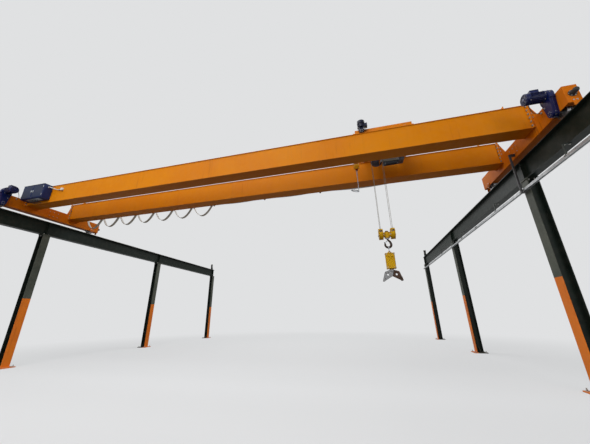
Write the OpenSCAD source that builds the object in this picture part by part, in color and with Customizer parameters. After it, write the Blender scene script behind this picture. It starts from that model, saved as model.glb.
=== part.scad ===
// Overhead bridge crane: two box girders on end carriages that run on a
// raised steel runway, with a rope hoist trolley between the girders.
// X runs along the bridge, Y along the runway, Z up. Millimetres.

/* [Runway] */
// Distance between the two runway rails
span = 16000; // [12000:100:18000]
// Spacing of the columns along the runway
bay = 6000; // [4000:100:6500]
// Height of the underside of the runway beams
beam_z = 4570; // [4200:10:5600]
// Depth of a runway beam
beam_h = 500; // [400:10:600]
// Flange width of a runway beam
beam_w = 200; // [180:5:260]
// Flange thickness of a runway beam
beam_tf = 16; // [10:1:24]
// Web thickness of a runway beam
beam_tw = 10; // [8:1:16]
// Width of the runway rail
rail_w = 50; // [40:1:60]
// Height of the runway rail
rail_h = 40; // [30:1:60]
// Depth and flange width of a column
column_w = 240; // [200:10:300]
// Flange thickness of a column
column_tf = 17; // [12:1:24]
// Web thickness of a column
column_tw = 10; // [8:1:16]
// Side of a column's square base plate
base_w = 460; // [400:10:520]
// Thickness of the base and cap plates
base_t = 25; // [16:1:40]
// Radius of an anchor bolt hole
anchor_r = 14; // [9:0.5:18]
// Distance of the anchor bolt holes from each other
anchor_pitch = 360; // [320:10:380]

/* [Bridge] */
// Place of the bridge along the runway, from its middle
bridge_y = -3000; // [-4000:100:4000]
// Distance between the two girders' centres
gauge = 1500; // [1300:10:1800]
// Depth of a girder
girder_h = 650; // [500:10:800]
// Width of a girder's flanges
girder_w = 410; // [340:5:460]
// Distance across a girder's webs
girder_web_w = 370; // [300:5:400]
// Thickness of a girder's flanges
girder_tf = 12; // [8:1:20]
// Thickness of a girder's webs
girder_tw = 8; // [6:1:12]
// Height of the girder's underside above the carriage's underside
girder_lift = 190; // [120:5:240]
// Thickness of the bolted head plates
head_t = 20; // [14:1:30]
// Length of an end carriage
carriage_l = 3800; // [3400:50:4200]
// Width of an end carriage
carriage_w = 240; // [200:5:280]
// Depth of an end carriage
carriage_h = 400; // [340:5:440]
// Plate thickness of an end carriage
carriage_t = 10; // [8:1:14]
// Distance from a wheel's axle to the end of its carriage
end_overhang = 300; // [260:10:360]
// Tread diameter of a bridge wheel
wheel_d = 250; // [200:5:280]
// Height of a bridge wheel's flange beyond its tread
wheel_flange = 18; // [12:1:24]
// Radius of a bridge wheel's axle
axle_r = 30; // [22:1:36]
// Length of a rubber buffer
buffer_l = 130; // [80:5:200]

/* [Trolley] */
// Place of the trolley along the bridge, from its middle
trolley_x = 4700; // [-4000:100:5000]
// Length of the trolley's end beams
trolley_l = 1440; // [1300:10:1700]
// Distance between the trolley's wheel axles
trolley_base = 1100; // [1000:10:1250]
// Width of the trolley rail
trail_w = 40; // [30:1:50]
// Height of the trolley rail
trail_h = 30; // [24:1:40]
// Tread diameter of a trolley wheel
twheel_d = 150; // [130:5:180]
// Height of a trolley wheel's flange beyond its tread
twheel_flange = 12; // [8:1:16]
// Width of a trolley end beam
tbeam_w = 110; // [100:2:130]
// Height of a trolley end beam
tbeam_h = 150; // [140:2:180]
// Plate thickness of the trolley's beams
tbeam_t = 8; // [6:1:10]
// Width of a cross beam
cross_w = 100; // [80:2:130]

/* [Hoist] */
// Diameter of the rope drum
drum_d = 200; // [180:5:220]
// Length of the grooved shell of the drum
drum_l = 500; // [420:10:520]
// Diameter of the hoist rope
rope_d = 10; // [8:0.5:12]
// Height of the drum's axis
hoist_z = 5760; // [5740:5:5820]
// Distance between the two rope falls of one sheave
fall_w = 240; // [220:5:260]
// Distance between the hook block's two sheaves
sheave_pitch = 300; // [290:5:350]
// Height of the hook block's sheave axis
block_z = 3480; // [2800:10:4600]
// Outside diameter of the hook block's guards
guard_d = 290; // [280:5:330]
// Width of a hook block guard
guard_w = 100; // [70:2:120]

/* [Hidden] */
$fn = 48;
bays = 3;
runway_l = bay * bays;
half_span = span / 2;
beam_top = beam_z + beam_h;
rail_top = beam_top + rail_h;
run_gap = 0.3;
wheel_z = rail_top + run_gap + wheel_d / 2;
wheelbase = carriage_l - 2 * end_overhang;
carriage_z = rail_top + 100;
carriage_in = half_span - carriage_w / 2;
girder_z = carriage_z + girder_lift;
girder_top = girder_z + girder_h;
head_x = carriage_in - head_t;
girder_end = head_x - head_t;
trail_z = girder_top + trail_h;
twheel_z = trail_z + run_gap + twheel_d / 2;
tbeam_z = twheel_z - tbeam_h / 2 + 30;
cross_z = tbeam_z + 24;
cross_h = tbeam_h - 24 - 2;
drum_y = drum_d / 2 - fall_w / 2;
fall_r = trolley_x - 35;
fall_l = fall_r - sheave_pitch;
drum_x0 = fall_r - 50;
drum_x1 = drum_x0 + drum_l;
pin_gap = 0.3;

module girder_orange() { color([0.93, 0.55, 0.06]) children(); }
module drive_blue() { color([0.10, 0.19, 0.48]) children(); }
module runway_steel() { color([0.15, 0.18, 0.17]) children(); }
module bare_steel() { color([0.45, 0.45, 0.46]) children(); }
module block_yellow() { color([0.93, 0.76, 0.12]) children(); }
module rubber_black() { color([0.08, 0.08, 0.08]) children(); }

// The corners of a rectangle w by d with its corners cut by c
function chamfered(w, d, c) = [
    [-w / 2 + c, -d / 2], [w / 2 - c, -d / 2], [w / 2, -d / 2 + c], [w / 2, d / 2 - c],
    [w / 2 - c, d / 2], [-w / 2 + c, d / 2], [-w / 2, d / 2 - c], [-w / 2, -d / 2 + c]
];

// A rolled I section of depth h and flange width w, lying along Y
module i_section(h, w, tf, tw, l) {
    rotate([90, 0, 0]) linear_extrude(l, center = true)
        polygon([
            [-w / 2, 0], [w / 2, 0], [w / 2, tf], [tw / 2, tf],
            [tw / 2, h - tf], [w / 2, h - tf], [w / 2, h], [-w / 2, h],
            [-w / 2, h - tf], [-tw / 2, h - tf], [-tw / 2, tf], [-w / 2, tf]
        ]);
}

module i_column(h) {
    linear_extrude(h)
        union() {
            for (s = [-1, 1])
                translate([s * (column_w - column_tf) / 2, 0])
                    square([column_tf, column_w], center = true);
            square([column_w - 2 * column_tf + 1, column_tw], center = true);
        }
}

module column(side, i) {
    runway_steel() translate([side * half_span, (i - (bays + 2) / 2) * bay, 0]) {
        difference() {
            translate([-base_w / 2, -base_w / 2, 0]) cube([base_w, base_w, base_t]);
            for (x = [-1, 1], y = [-1, 1])
                translate([x * anchor_pitch / 2, y * anchor_pitch / 2, -1])
                    cylinder(h = base_t + 2, r = anchor_r);
        }
        translate([0, 0, base_t]) i_column(beam_z - 2 * base_t);
        translate([-column_w / 2 - 15, -column_w / 2 - 15, beam_z - base_t])
            cube([column_w + 30, column_w + 30, base_t]);
        for (s = [-1, 1])
            translate([0, s * (column_tw / 2), base_t])
                rotate([90, 0, 90]) linear_extrude(12, center = true)
                    polygon([[0, 0], [s * 160, 0], [s * 160, 30], [s * 30, 200], [0, 200]]);
    }
}

module runway_beam(side) {
    runway_steel() translate([side * half_span, 0, beam_z]) {
        i_section(beam_h, beam_w, beam_tf, beam_tw, runway_l + 240);
        for (i = [0:bays], s = [-1, 1])
            translate([s * (beam_tw / 2 + (beam_w - beam_tw) / 4 - 1),
                (i - bays / 2) * bay, beam_h / 2])
                cube([(beam_w - beam_tw) / 2 - 4, 12, beam_h - 2 * beam_tf + 1], center = true);
    }
}

module runway_rail(side) {
    bare_steel() translate([side * half_span, 0, beam_top + rail_h / 2])
        cube([rail_w, runway_l + 100, rail_h], center = true);
}

// An end stop: a raised plate with two raking ribs and a rubber pad
stop_y = runway_l / 2 - 120;
buffer_z = carriage_z + carriage_h / 2;
module runway_stop() {
    translate([0, 0, rail_top])
        linear_extrude(14) square([120, 160], center = true);
    translate([0, -60, rail_top + 14]) {
        translate([-70, 0, 0]) cube([140, 20, buffer_z - rail_top + 70]);
        for (x = [-1, 1])
            translate([x * 40, 20, 0])
                rotate([90, 0, 90]) linear_extrude(12, center = true)
                    polygon([[0, 0], [110, 0], [0, buffer_z - rail_top + 20]]);
    }
}

module runway_stops() {
    runway_steel() for (side = [-1, 1], e = [-1, 1])
        translate([side * half_span, e * stop_y, 0])
            mirror([0, e < 0 ? 1 : 0, 0]) runway_stop();
}

// The enclosed conductor rail hangs inboard of the right runway beam
conductor_inset = 180;
conductor_drop = 300;
conductor_x = half_span - conductor_inset;
conductor_z = beam_z - conductor_drop;
conductor_s = 60;
module conductor_rail() {
    color([0.80, 0.81, 0.82]) {
        translate([conductor_x, 0, conductor_z]) rotate([90, 0, 0])
            linear_extrude(runway_l, center = true) difference() {
                translate([-conductor_s / 2, 0]) square([conductor_s, conductor_s]);
                translate([-conductor_s / 2 + 5, 5]) square([conductor_s - 10, conductor_s - 10]);
                translate([-9, -1]) square([18, 10]);
            }
        for (i = [0:bays - 1], q = [1, 3])
            translate([conductor_x, (i - bays / 2 + q / 4) * bay, conductor_z + conductor_s]) {
                translate([-10, -20, 0]) cube([20, 40, beam_z - conductor_z - conductor_s]);
                translate([-10, -20, beam_z - conductor_z - conductor_s - 10])
                    cube([160, 40, 10]);
            }
    }
}

// A box girder: two flanges and two webs, closed by an end plate
module girder(side) {
    girder_orange() translate([0, bridge_y + side * gauge / 2, girder_z]) {
        difference() {
            union() {
                for (z = [0, girder_h - girder_tf])
                    translate([-girder_end, -girder_w / 2, z])
                        cube([2 * girder_end, girder_w, girder_tf]);
                translate([-girder_end, -girder_web_w / 2, 1])
                    cube([2 * girder_end, girder_web_w, girder_h - 2]);
            }
            translate([-girder_end - 1, -girder_web_w / 2 + girder_tw, girder_tf])
                cube([2 * girder_end + 2, girder_web_w - 2 * girder_tw, girder_h - 2 * girder_tf]);
        }
        for (e = [-1, 1])
            translate([e * (girder_end + head_t / 2), 0, girder_h / 2])
                cube([head_t, girder_w + 50, girder_h], center = true);
    }
}

// An end carriage: a closed box with a pocket for each wheel and, at each
// girder, a head plate with gussets that stands up above the box
module carriage(side) {
    girder_orange() translate([side * half_span, bridge_y, 0]) {
        difference() {
            translate([-carriage_w / 2, -carriage_l / 2, carriage_z])
                cube([carriage_w, carriage_l, carriage_h]);
            translate([-carriage_w / 2 + carriage_t, -carriage_l / 2 + carriage_t, carriage_z + carriage_t])
                cube([carriage_w - 2 * carriage_t, carriage_l - 2 * carriage_t, carriage_h - 2 * carriage_t]);
            for (e = [-1, 1]) {
                translate([-carriage_w / 2 + carriage_t, e * wheelbase / 2 - 190, carriage_z - 1])
                    cube([carriage_w - 2 * carriage_t, 340, carriage_t + 2]);
                translate([0, e * wheelbase / 2, wheel_z]) rotate([0, 90, 0])
                    cylinder(h = carriage_w + 2, r = axle_r + pin_gap, center = true);
            }
        }
        for (s = [-1, 1]) {
            translate([side * (-carriage_w / 2 - head_t), s * gauge / 2 - girder_w / 2 - 25, girder_z])
                mirror([side < 0 ? 1 : 0, 0, 0])
                    cube([head_t, girder_w + 50, girder_h]);
            for (g = [-1, 1])
                translate([-side * (carriage_w / 2), s * gauge / 2 + g * (girder_web_w / 2 - 10), carriage_z + carriage_h])
                    rotate([90, 0, 0]) linear_extrude(12, center = true)
                        polygon([[0, 0], [side * 200, 0], [side * 200, 30],
                            [side * 30, girder_top - carriage_z - carriage_h - 20],
                            [0, girder_top - carriage_z - carriage_h - 20]]);
        }
    }
}

module bridge_buffers() {
    rubber_black() for (side = [-1, 1], e = [-1, 1])
        translate([side * half_span, bridge_y + e * carriage_l / 2, buffer_z])
            rotate([-90 * e, 0, 0]) {
                cylinder(h = 12, r = 70);
                cylinder(h = buffer_l - 20, r = 48);
                translate([0, 0, buffer_l - 20]) cylinder(h = 20, r1 = 48, r2 = 36);
            }
}

// A wheel with two flanges, turned about X, on its own axle
module rail_wheel(d, flange, tread, lip, r_axle, axle_l) {
    rotate([0, 90, 0]) rotate_extrude($fn = 96) polygon([
        [0, -axle_l / 2], [r_axle, -axle_l / 2], [r_axle, -tread / 2 - lip - 4],
        [r_axle + 22, -tread / 2 - lip - 4], [r_axle + 22, -tread / 2 + 2],
        [d / 2 - 30, -tread / 2 + 4], [d / 2 - 22, -tread / 2 - lip],
        [d / 2 + flange - 3, -tread / 2 - lip], [d / 2 + flange, -tread / 2 - lip + 4],
        [d / 2 + flange, -tread / 2 - 3], [d / 2, -tread / 2],
        [d / 2, tread / 2], [d / 2 + flange, tread / 2 + 3],
        [d / 2 + flange, tread / 2 + lip - 4], [d / 2 + flange - 3, tread / 2 + lip],
        [d / 2 - 22, tread / 2 + lip], [d / 2 - 30, tread / 2 - 4],
        [r_axle + 22, tread / 2 - 2], [r_axle + 22, tread / 2 + lip + 4],
        [r_axle, tread / 2 + lip + 4], [r_axle, axle_l / 2], [0, axle_l / 2]
    ]);
}

// The near wheels are driven: their axles reach into the gear cases
module bridge_wheel(side, e) {
    bare_steel() translate([side * half_span, bridge_y + e * wheelbase / 2, wheel_z]) {
        rail_wheel(wheel_d, wheel_flange, rail_w + 10, 14, axle_r, carriage_w + 16);
        if (e < 0)
            rotate([0, -90 * side, 0]) cylinder(h = carriage_w / 2 + 70, r = axle_r);
    }
}

// A finned motor with a fan cowl, lying along +X from its flange at x = 0
module motor(d, l) {
    rotate([0, 90, 0]) {
        cylinder(h = 14, r = d / 2);
        cylinder(h = l - 70, r = d / 2 - 14);
        for (a = [0:15:345])
            rotate([0, 0, a]) translate([d / 2 - 16, -2, 12]) cube([14, 4, l - 96]);
        translate([0, 0, l - 78]) difference() {
            cylinder(h = 78, r = d / 2 - 1);
            for (a = [0:45:315])
                rotate([0, 0, a]) translate([d / 4 + 4, 0, 70]) cylinder(h = 10, r = 9);
        }
    }
}

drive_rise = 440;
drive_z = wheel_z + drive_rise;
drive_gear_t = 120;
drive_motor_d = 240;
drive_motor_l = 340;
module travel_drive(side) {
    drive_blue() translate([side * carriage_in, bridge_y - wheelbase / 2, 0])
        mirror([side > 0 ? 1 : 0, 0, 0]) {
            difference() {
                union() {
                    translate([10, 0, 0]) rotate([90, 0, 90]) linear_extrude(drive_gear_t - 10)
                        hull() {
                            translate([0, wheel_z]) circle(r = 80);
                            translate([0, drive_z - 30]) circle(r = 135);
                        }
                    translate([0, -60, carriage_z + carriage_h - 110]) cube([12, 120, 90]);
                }
                translate([-1, 0, wheel_z]) rotate([0, 90, 0])
                    cylinder(h = drive_gear_t - 20, r = axle_r + pin_gap);
            }
            translate([drive_gear_t, 0, drive_z]) motor(drive_motor_d, drive_motor_l);
            translate([drive_gear_t + 70, -62, drive_z + 96]) cube([150, 124, 62]);
        }
}

module trolley_rail(side) {
    bare_steel() translate([0, bridge_y + side * gauge / 2, girder_top + trail_h / 2])
        cube([2 * girder_end - 200, trail_w, trail_h], center = true);
}

tstop_x = girder_end - 360;
module trolley_stops() {
    girder_orange() for (s = [-1, 1], e = [-1, 1])
        translate([e * tstop_x, bridge_y + s * gauge / 2, trail_z]) {
            translate([0, 0, 6]) cube([120, trail_w + 50, 12], center = true);
            translate([e * 30, 0, 12 + 70]) cube([16, 90, 140], center = true);
            translate([e * 38, 0, 12]) rotate([90, 0, 0]) linear_extrude(12, center = true)
                polygon([[0, 0], [e * 60, 0], [0, 120]]);
        }
}

// The festoon line runs on the far side of the far girder
track_y = bridge_y + gauge / 2 + girder_w / 2 + 90;
track_z = girder_z + 160;
track_inset = 340;
track_spans = 10;
festoon_end = -girder_end + track_inset;
loop_pitch = 870;
loops = 7;
carrier_xs = concat([for (i = [1:loops]) festoon_end + i * loop_pitch],
    [for (q = [1, 2]) festoon_end + loops * loop_pitch + q * (trolley_x - festoon_end - loops * loop_pitch) / 3]);
cable_w = 100;
cable_t = 12;
saddle_r = 45;
yoke_w = cable_w + 24;
hold_z = track_z - 36;
cable_z = hold_z - run_gap - cable_t / 2;
tow_x = trolley_x + trolley_l / 2 - 120;
module festoon_track() {
    bare_steel() {
        festoon_clamp();
        translate([0, track_y, track_z]) rotate([90, 0, 90])
            linear_extrude(2 * girder_end - 200, center = true) difference() {
                translate([-15, 0]) square([30, 30]);
                translate([-12, 3]) square([24, 24]);
                translate([-6, -1]) square([12, 6]);
            }
        for (i = [0:track_spans])
            translate([festoon_end * (1 - 2 * i / track_spans), track_y, track_z + 30]) {
                translate([-20, -90, 0]) cube([40, 105, 6]);
                translate([-20, -90 + (girder_w - girder_web_w) / 2 * -1, -80]) cube([40, 6 + (girder_w - girder_web_w) / 2, 86]);
            }
    }
}

// The cable's fixed end is clamped below the start of the track
module festoon_clamp() {
    translate([festoon_end - 30, track_y - 20, hold_z]) cube([60, 40, track_z - hold_z]);
}

module festoon_carriers() {
    color([0.12, 0.12, 0.13]) for (x = carrier_xs)
        translate([x, track_y, track_z]) {
            translate([-35, -4, -30]) cube([70, 8, 44]);
            for (e = [-1, 1], s = [-1, 1])
                translate([e * 22, s * 6.5, 3 + 8 + run_gap]) rotate([90, 0, 0])
                    cylinder(h = 5, r = 8, center = true);
            translate([-30, -yoke_w / 2, hold_z - track_z]) cube([60, yoke_w, 12]);
            for (e = [-1, 1])
                translate([-30, e * (yoke_w / 2 - 5) - 5, -80]) cube([60, 10, 80 + hold_z - track_z + 1]);
            translate([0, 0, cable_z - track_z - saddle_r]) rotate([90, 0, 0]) difference() {
                cylinder(h = yoke_w - 10, r = saddle_r - cable_t / 2 - 2 * run_gap, center = true);
                translate([-60, -90, -80]) cube([120, 100, 160]);
            }
        }
}

// The flat cable hangs in loops from the saddles and is drawn almost straight
// towards the trolley. Each point has its place and the way its face looks.
function leave_angle(l) = l < 1.5 * loop_pitch ? 64 : 7;

function cable_loop(x0, x1, a) =
    let (x2 = x0 + saddle_r * sin(a), x3 = x1 - saddle_r * sin(a), z = -saddle_r * (1 - cos(a)))
    concat(
        [for (q = [0:7]) [x0 + saddle_r * sin(a * q / 8), -saddle_r * (1 - cos(a * q / 8)), a * q / 8]],
        [for (q = [0:12]) [x2 + (x3 - x2) * q / 12, z - (x3 - x2) * tan(a) * q * (12 - q) / 144,
            atan(tan(a) * (1 - q / 6))]],
        [for (q = [7:-1:1]) [x1 - saddle_r * sin(a * q / 8), -saddle_r * (1 - cos(a * q / 8)), -a * q / 8]]
    );

module festoon_cable() {
    xs = concat([festoon_end], carrier_xs, [tow_x]);
    run = concat([[xs[0] - 25, 0, 0]],
        [for (i = [0:len(xs) - 2]) each cable_loop(xs[i], xs[i + 1], leave_angle(xs[i + 1] - xs[i]))],
        [[tow_x, 0, 0], [tow_x + 20, 0, 0]]);
    last = len(run) - 1;
    color([0.75, 0.75, 0.74]) translate([0, track_y, cable_z]) rotate([90, 0, 0])
        linear_extrude(cable_w, center = true) polygon(concat(
            [for (i = [0:last]) [run[i][0] + cable_t / 2 * sin(run[i][2]), run[i][1] + cable_t / 2 * cos(run[i][2])]],
            [for (i = [last:-1:0]) [run[i][0] - cable_t / 2 * sin(run[i][2]), run[i][1] - cable_t / 2 * cos(run[i][2])]]
        ));
}

// The control cabinet hangs on the near face of the near girder
cabinet_x = -girder_end + 90;
cabinet_l = 1000;
cabinet_h = 520;
cabinet_d = min(250, (wheelbase - gauge - girder_w) / 2 - drive_motor_d / 2 - 25);
module control_cabinet() {
    y0 = bridge_y - gauge / 2 - girder_w / 2;
    z0 = girder_z + 100;
    color([0.22, 0.38, 0.62]) {
        translate([cabinet_x, y0 - cabinet_d, z0]) cube([cabinet_l, cabinet_d, cabinet_h]);
        for (i = [0, 1])
            translate([cabinet_x + 15 + i * (cabinet_l - 15) / 2, y0 - cabinet_d - 14, z0 + 15])
                cube([(cabinet_l - 45) / 2, 14, cabinet_h - 30]);
        for (x = [100, cabinet_l - 140], z = [80, cabinet_h - 120])
            translate([cabinet_x + x, y0, z0 + z]) cube([40, (girder_w - girder_web_w) / 2, 40]);
    }
}

module current_collector() {
    color([0.30, 0.31, 0.32]) {
        x0 = conductor_x - conductor_s / 2 - 50;
        translate([x0, bridge_y - 20, conductor_z - 45])
            cube([40, 40, carriage_z + 110 - conductor_z + 45]);
        translate([x0, bridge_y - 20, carriage_z + 50])
            cube([carriage_in - x0, 40, 60]);
        translate([x0, bridge_y - 30, conductor_z - 45])
            cube([conductor_s + 50, 60, 30]);
        translate([conductor_x - 4, bridge_y - 30, conductor_z - 16]) cube([8, 60, 30]);
    }
}

// The trolley frame: an end beam over each girder joined by cross beams
module box_tube(l, w, h, t) {
    difference() {
        translate([-l / 2, -w / 2, 0]) cube([l, w, h]);
        translate([-l / 2 - 1, -w / 2 + t, t]) cube([l + 2, w - 2 * t, h - 2 * t]);
    }
}

cross_xs = [-470, -130, 525];
module trolley_frame() {
    girder_orange() translate([trolley_x, bridge_y, 0]) {
        for (s = [-1, 1])
            translate([0, s * gauge / 2, 0]) {
                difference() {
                    translate([-trolley_l / 2, -tbeam_w / 2, tbeam_z]) cube([trolley_l, tbeam_w, tbeam_h]);
                    translate([-trolley_l / 2 - 1, -tbeam_w / 2 + tbeam_t, tbeam_z - 1])
                        cube([trolley_l + 2, tbeam_w - 2 * tbeam_t, tbeam_h + 1 - tbeam_t]);
                    for (e = [-1, 1])
                        translate([e * trolley_base / 2, 0, twheel_z]) rotate([90, 0, 0])
                            cylinder(h = tbeam_w + 2, r = 15 + pin_gap, center = true);
                }
                for (e = [-1, 1])
                    translate([e * (trolley_l / 2 + 5), 0, tbeam_z + tbeam_h / 2])
                        cube([10, tbeam_w, tbeam_h], center = true);
            }
        for (x = cross_xs)
            translate([x, 0, cross_z]) rotate([0, 0, 90])
                box_tube(gauge - tbeam_w, cross_w, cross_h, tbeam_t);
        for (y = [-1, 1])
            translate([(cross_xs[0] + cross_xs[1]) / 2, y * fall_w / 2, cross_z])
                box_tube(cross_xs[1] - cross_xs[0] - cross_w, 80, cross_h, tbeam_t);
        // The drum's outer bearing plate hangs from the middle cross beam
        translate([cross_xs[1], drum_y, 0]) difference() {
            translate([18, -120, hoist_z - 120]) cube([16, 240, cross_z - hoist_z + 120]);
            translate([0, 0, hoist_z]) rotate([0, 90, 0]) cylinder(h = 60, r = 25 + pin_gap);
        }
        // The rope anchor hangs from the left longitudinal beam
        translate([fall_l - trolley_x, -fall_w / 2, 0]) {
            translate([-30, -6, hoist_z + 70]) cube([60, 12, cross_z - hoist_z - 70]);
            translate([0, 0, hoist_z + run_gap]) cylinder(h = 80, r = 16);
        }
        for (s = [-1, 1], e = [-1, 1])
            translate([e * (trolley_l / 2 + 10), s * gauge / 2, tbeam_z + tbeam_h / 2])
                rotate([0, 90 * e, 0]) cylinder(h = 50, r = 32);
    }
}

module trolley_wheel(e, s) {
    bare_steel() translate([trolley_x + e * trolley_base / 2, bridge_y + s * gauge / 2, twheel_z])
        rotate([0, 0, 90])
            rail_wheel(twheel_d, twheel_flange, trail_w + 6, 9, 15, tbeam_w);
    if (e < 0 && s < 0)
        bare_steel() translate([trolley_x - trolley_base / 2, bridge_y - gauge / 2, twheel_z])
            rotate([90, 0, 0]) cylinder(h = tbeam_w / 2 + 25, r = 15);
}

module trolley_drive() {
    drive_blue() translate([trolley_x - trolley_base / 2, bridge_y - gauge / 2 - tbeam_w / 2, 0]) {
        difference() {
            rotate([90, 0, 0]) linear_extrude(110) hull() {
                translate([0, twheel_z]) circle(r = 52);
                translate([0, twheel_z + 75]) circle(r = 80);
            }
            translate([0, 1, twheel_z]) rotate([90, 0, 0]) cylinder(h = 30, r = 15 + pin_gap);
        }
        translate([0, -55, twheel_z + 125]) {
            rotate([0, -90, 0]) motor(200, 205);
            translate([80, -50, 12]) cube([66, 100, 100]);
        }
    }
}

// The rope drum: a shell with one groove per turn and a journal at each end
module hoist_drum() {
    r = drum_d / 2;
    pitch = rope_d + 2;
    turns = floor((drum_l - 40) / pitch);
    bare_steel() translate([0, bridge_y + drum_y, hoist_z]) {
        difference() {
            union() {
                translate([drum_x0, 0, 0]) rotate([0, 90, 0]) cylinder(h = drum_l, r = r - 0.15 * rope_d, $fn = 96);
                for (x = [drum_x0, drum_x1 - 12])
                    translate([x, 0, 0]) rotate([0, 90, 0]) cylinder(h = 12, r = r + 14, $fn = 96);
                translate([drum_x0 - 62, 0, 0]) rotate([0, 90, 0]) cylinder(h = drum_l + 122, r = 25);
            }
            for (i = [0:turns - 1])
                translate([drum_x0 + 20 + (i + 0.5) * pitch, 0, 0]) rotate([0, 90, 0])
                    rotate_extrude($fn = 96) translate([r, 0]) circle(r = rope_d / 2 + 0.5, $fn = 16);
        }
    }
}

gear_x = drum_x1 + 14;
module hoist_gearbox() {
    drive_blue() translate([gear_x, bridge_y, hoist_z]) difference() {
        union() {
            rotate([90, 0, 90]) linear_extrude(130) hull() {
                translate([drum_y, 0]) circle(r = 120);
                translate([250, 20]) circle(r = 105);
            }
            translate([30, -90, 80]) cube([60, 380, cross_z - hoist_z - 80]);
        }
        translate([-1, drum_y, 0]) rotate([0, 90, 0]) cylinder(h = 60, r = 25 + pin_gap);
    }
}

module hoist_motor() {
    drive_blue() translate([gear_x, bridge_y + 250, hoist_z + 20])
        rotate([0, 0, 180]) motor(220, 420);
}

module top_sheave() {
    translate([(fall_l + fall_r) / 2, bridge_y + fall_w / 2, hoist_z]) {
        bare_steel() rotate([90, 0, 0]) difference() {
            cylinder(h = 34, r = sheave_pitch / 2 + 12, center = true, $fn = 96);
            rotate_extrude($fn = 96) translate([sheave_pitch / 2, 0])
                union() {
                    circle(r = rope_d / 2 + run_gap, $fn = 24);
                    translate([0, -rope_d / 2 - run_gap]) square([30, rope_d + 2 * run_gap]);
                }
        }
        girder_orange() for (s = [-1, 1])
            translate([0, s * 27, 0]) rotate([90, 0, 0]) linear_extrude(10, center = true)
                polygon([[-60, -60], [60, -60], [60, cross_z - hoist_z], [-60, cross_z - hoist_z]]);
        bare_steel() rotate([90, 0, 0]) cylinder(h = 72, r = 20, center = true);
    }
}

// The tow arm reaches over the far girder to the festoon line
module tow_arm() {
    y0 = bridge_y + gauge / 2 + tbeam_w / 2;
    girder_orange() {
        translate([tow_x - 25, y0, tbeam_z + 60]) cube([50, track_y + 25 - y0, 50]);
        translate([tow_x - 25, track_y - 25, track_z + 60]) cube([50, 50, tbeam_z - track_z]);
        translate([tow_x - 25, track_y + 22, hold_z]) cube([50, 12, tbeam_z - hold_z + 60]);
        translate([tow_x - 25, track_y - 40, hold_z]) cube([50, 74, 10]);
    }
}

// An arm holds the hoist's limit switch, with a rod and a steel ring below it
limit_x = trolley_x - 770;
limit_z = hoist_z - 184;
ring_r = 105;
ring_drop = 740;
module limit_arm() {
    girder_orange() {
        translate([limit_x - 20, bridge_y - 20, cross_z + 20])
            cube([trolley_x + cross_xs[0] - cross_w / 2 - limit_x + 20, 40, 60]);
        translate([limit_x - 8, bridge_y - 45, limit_z + 200]) cube([16, 90, cross_z + 90 - limit_z - 200]);
        difference() {
            translate([limit_x - 75, bridge_y - 55, limit_z]) cube([140, 110, 240]);
            translate([limit_x - 67, bridge_y - 56, limit_z - 1]) cube([124, 103, 229]);
        }
    }
}

module limit_switch() {
    color([0.55, 0.08, 0.06]) {
        translate([limit_x - 32, bridge_y - 35, limit_z - 95]) cube([64, 70, 95]);
        translate([limit_x - 20, bridge_y - 25, limit_z - 1]) cube([40, 72, 151]);
    }
}

module limit_ring() {
    bare_steel() {
        translate([limit_x - 4, bridge_y, limit_z - 22 - ring_drop]) cylinder(h = ring_drop - 73, r = 10);
        translate([limit_x - ring_r, bridge_y, limit_z + 4 - ring_drop]) rotate([14, 16, 0])
            rotate_extrude($fn = 64) translate([ring_r, 0]) circle(r = 15, $fn = 24);
    }
}

module hoist_ropes() {
    color([0.5, 0.5, 0.48]) for (x = [fall_l, fall_r], s = [-1, 1])
        translate([x, bridge_y + s * fall_w / 2, block_z])
            cylinder(h = hoist_z - block_z, r = rope_d / 2);
}

// The hook block: two guarded sheaves on a cross head with the hook nut
module guard(x) {
    translate([x, bridge_y, block_z]) difference() {
        rotate([0, 90, 0]) cylinder(h = guard_w, r = guard_d / 2, center = true, $fn = 96);
        rotate([0, 90, 0]) cylinder(h = guard_w - 16, r = guard_d / 2 - 6, center = true, $fn = 96);
        for (s = [-1, 1])
            translate([-guard_w / 2 + 14, s * fall_w / 2 - 22, 0]) cube([guard_w - 28, 44, guard_d]);
    }
}

head_top = 45;
head_low = 105;
module hook_block() {
    mid = (fall_l + fall_r) / 2;
    block_yellow() difference() {
        union() {
            guard(fall_l);
            guard(fall_r);
            translate([fall_l + guard_w / 2, bridge_y - 55, block_z - 70])
                cube([sheave_pitch - guard_w, 110, 105]);
            translate([mid, bridge_y, block_z - head_low]) cylinder(h = head_low + head_top, r = 66);
        }
        for (x = [fall_l, fall_r])
            translate([x, bridge_y, block_z]) rotate([0, 90, 0])
                cylinder(h = guard_w + 24, r = 20 + pin_gap, center = true);
        translate([mid, bridge_y, block_z - head_low - 1])
            cylinder(h = head_low + head_top + 2, r = shank_r + pin_gap);
    }
}

module block_sheave(x) {
    bare_steel() translate([x, bridge_y, block_z]) rotate([0, 90, 0]) {
        difference() {
            cylinder(h = 40, r = fall_w / 2 + 12, center = true, $fn = 96);
            rotate_extrude($fn = 96) translate([fall_w / 2, 0])
                union() {
                    circle(r = rope_d / 2 + run_gap, $fn = 24);
                    translate([0, -rope_d / 2 - run_gap]) square([30, rope_d + 2 * run_gap]);
                }
        }
        cylinder(h = guard_w + 20, r = 20, center = true);
    }
}

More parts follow.
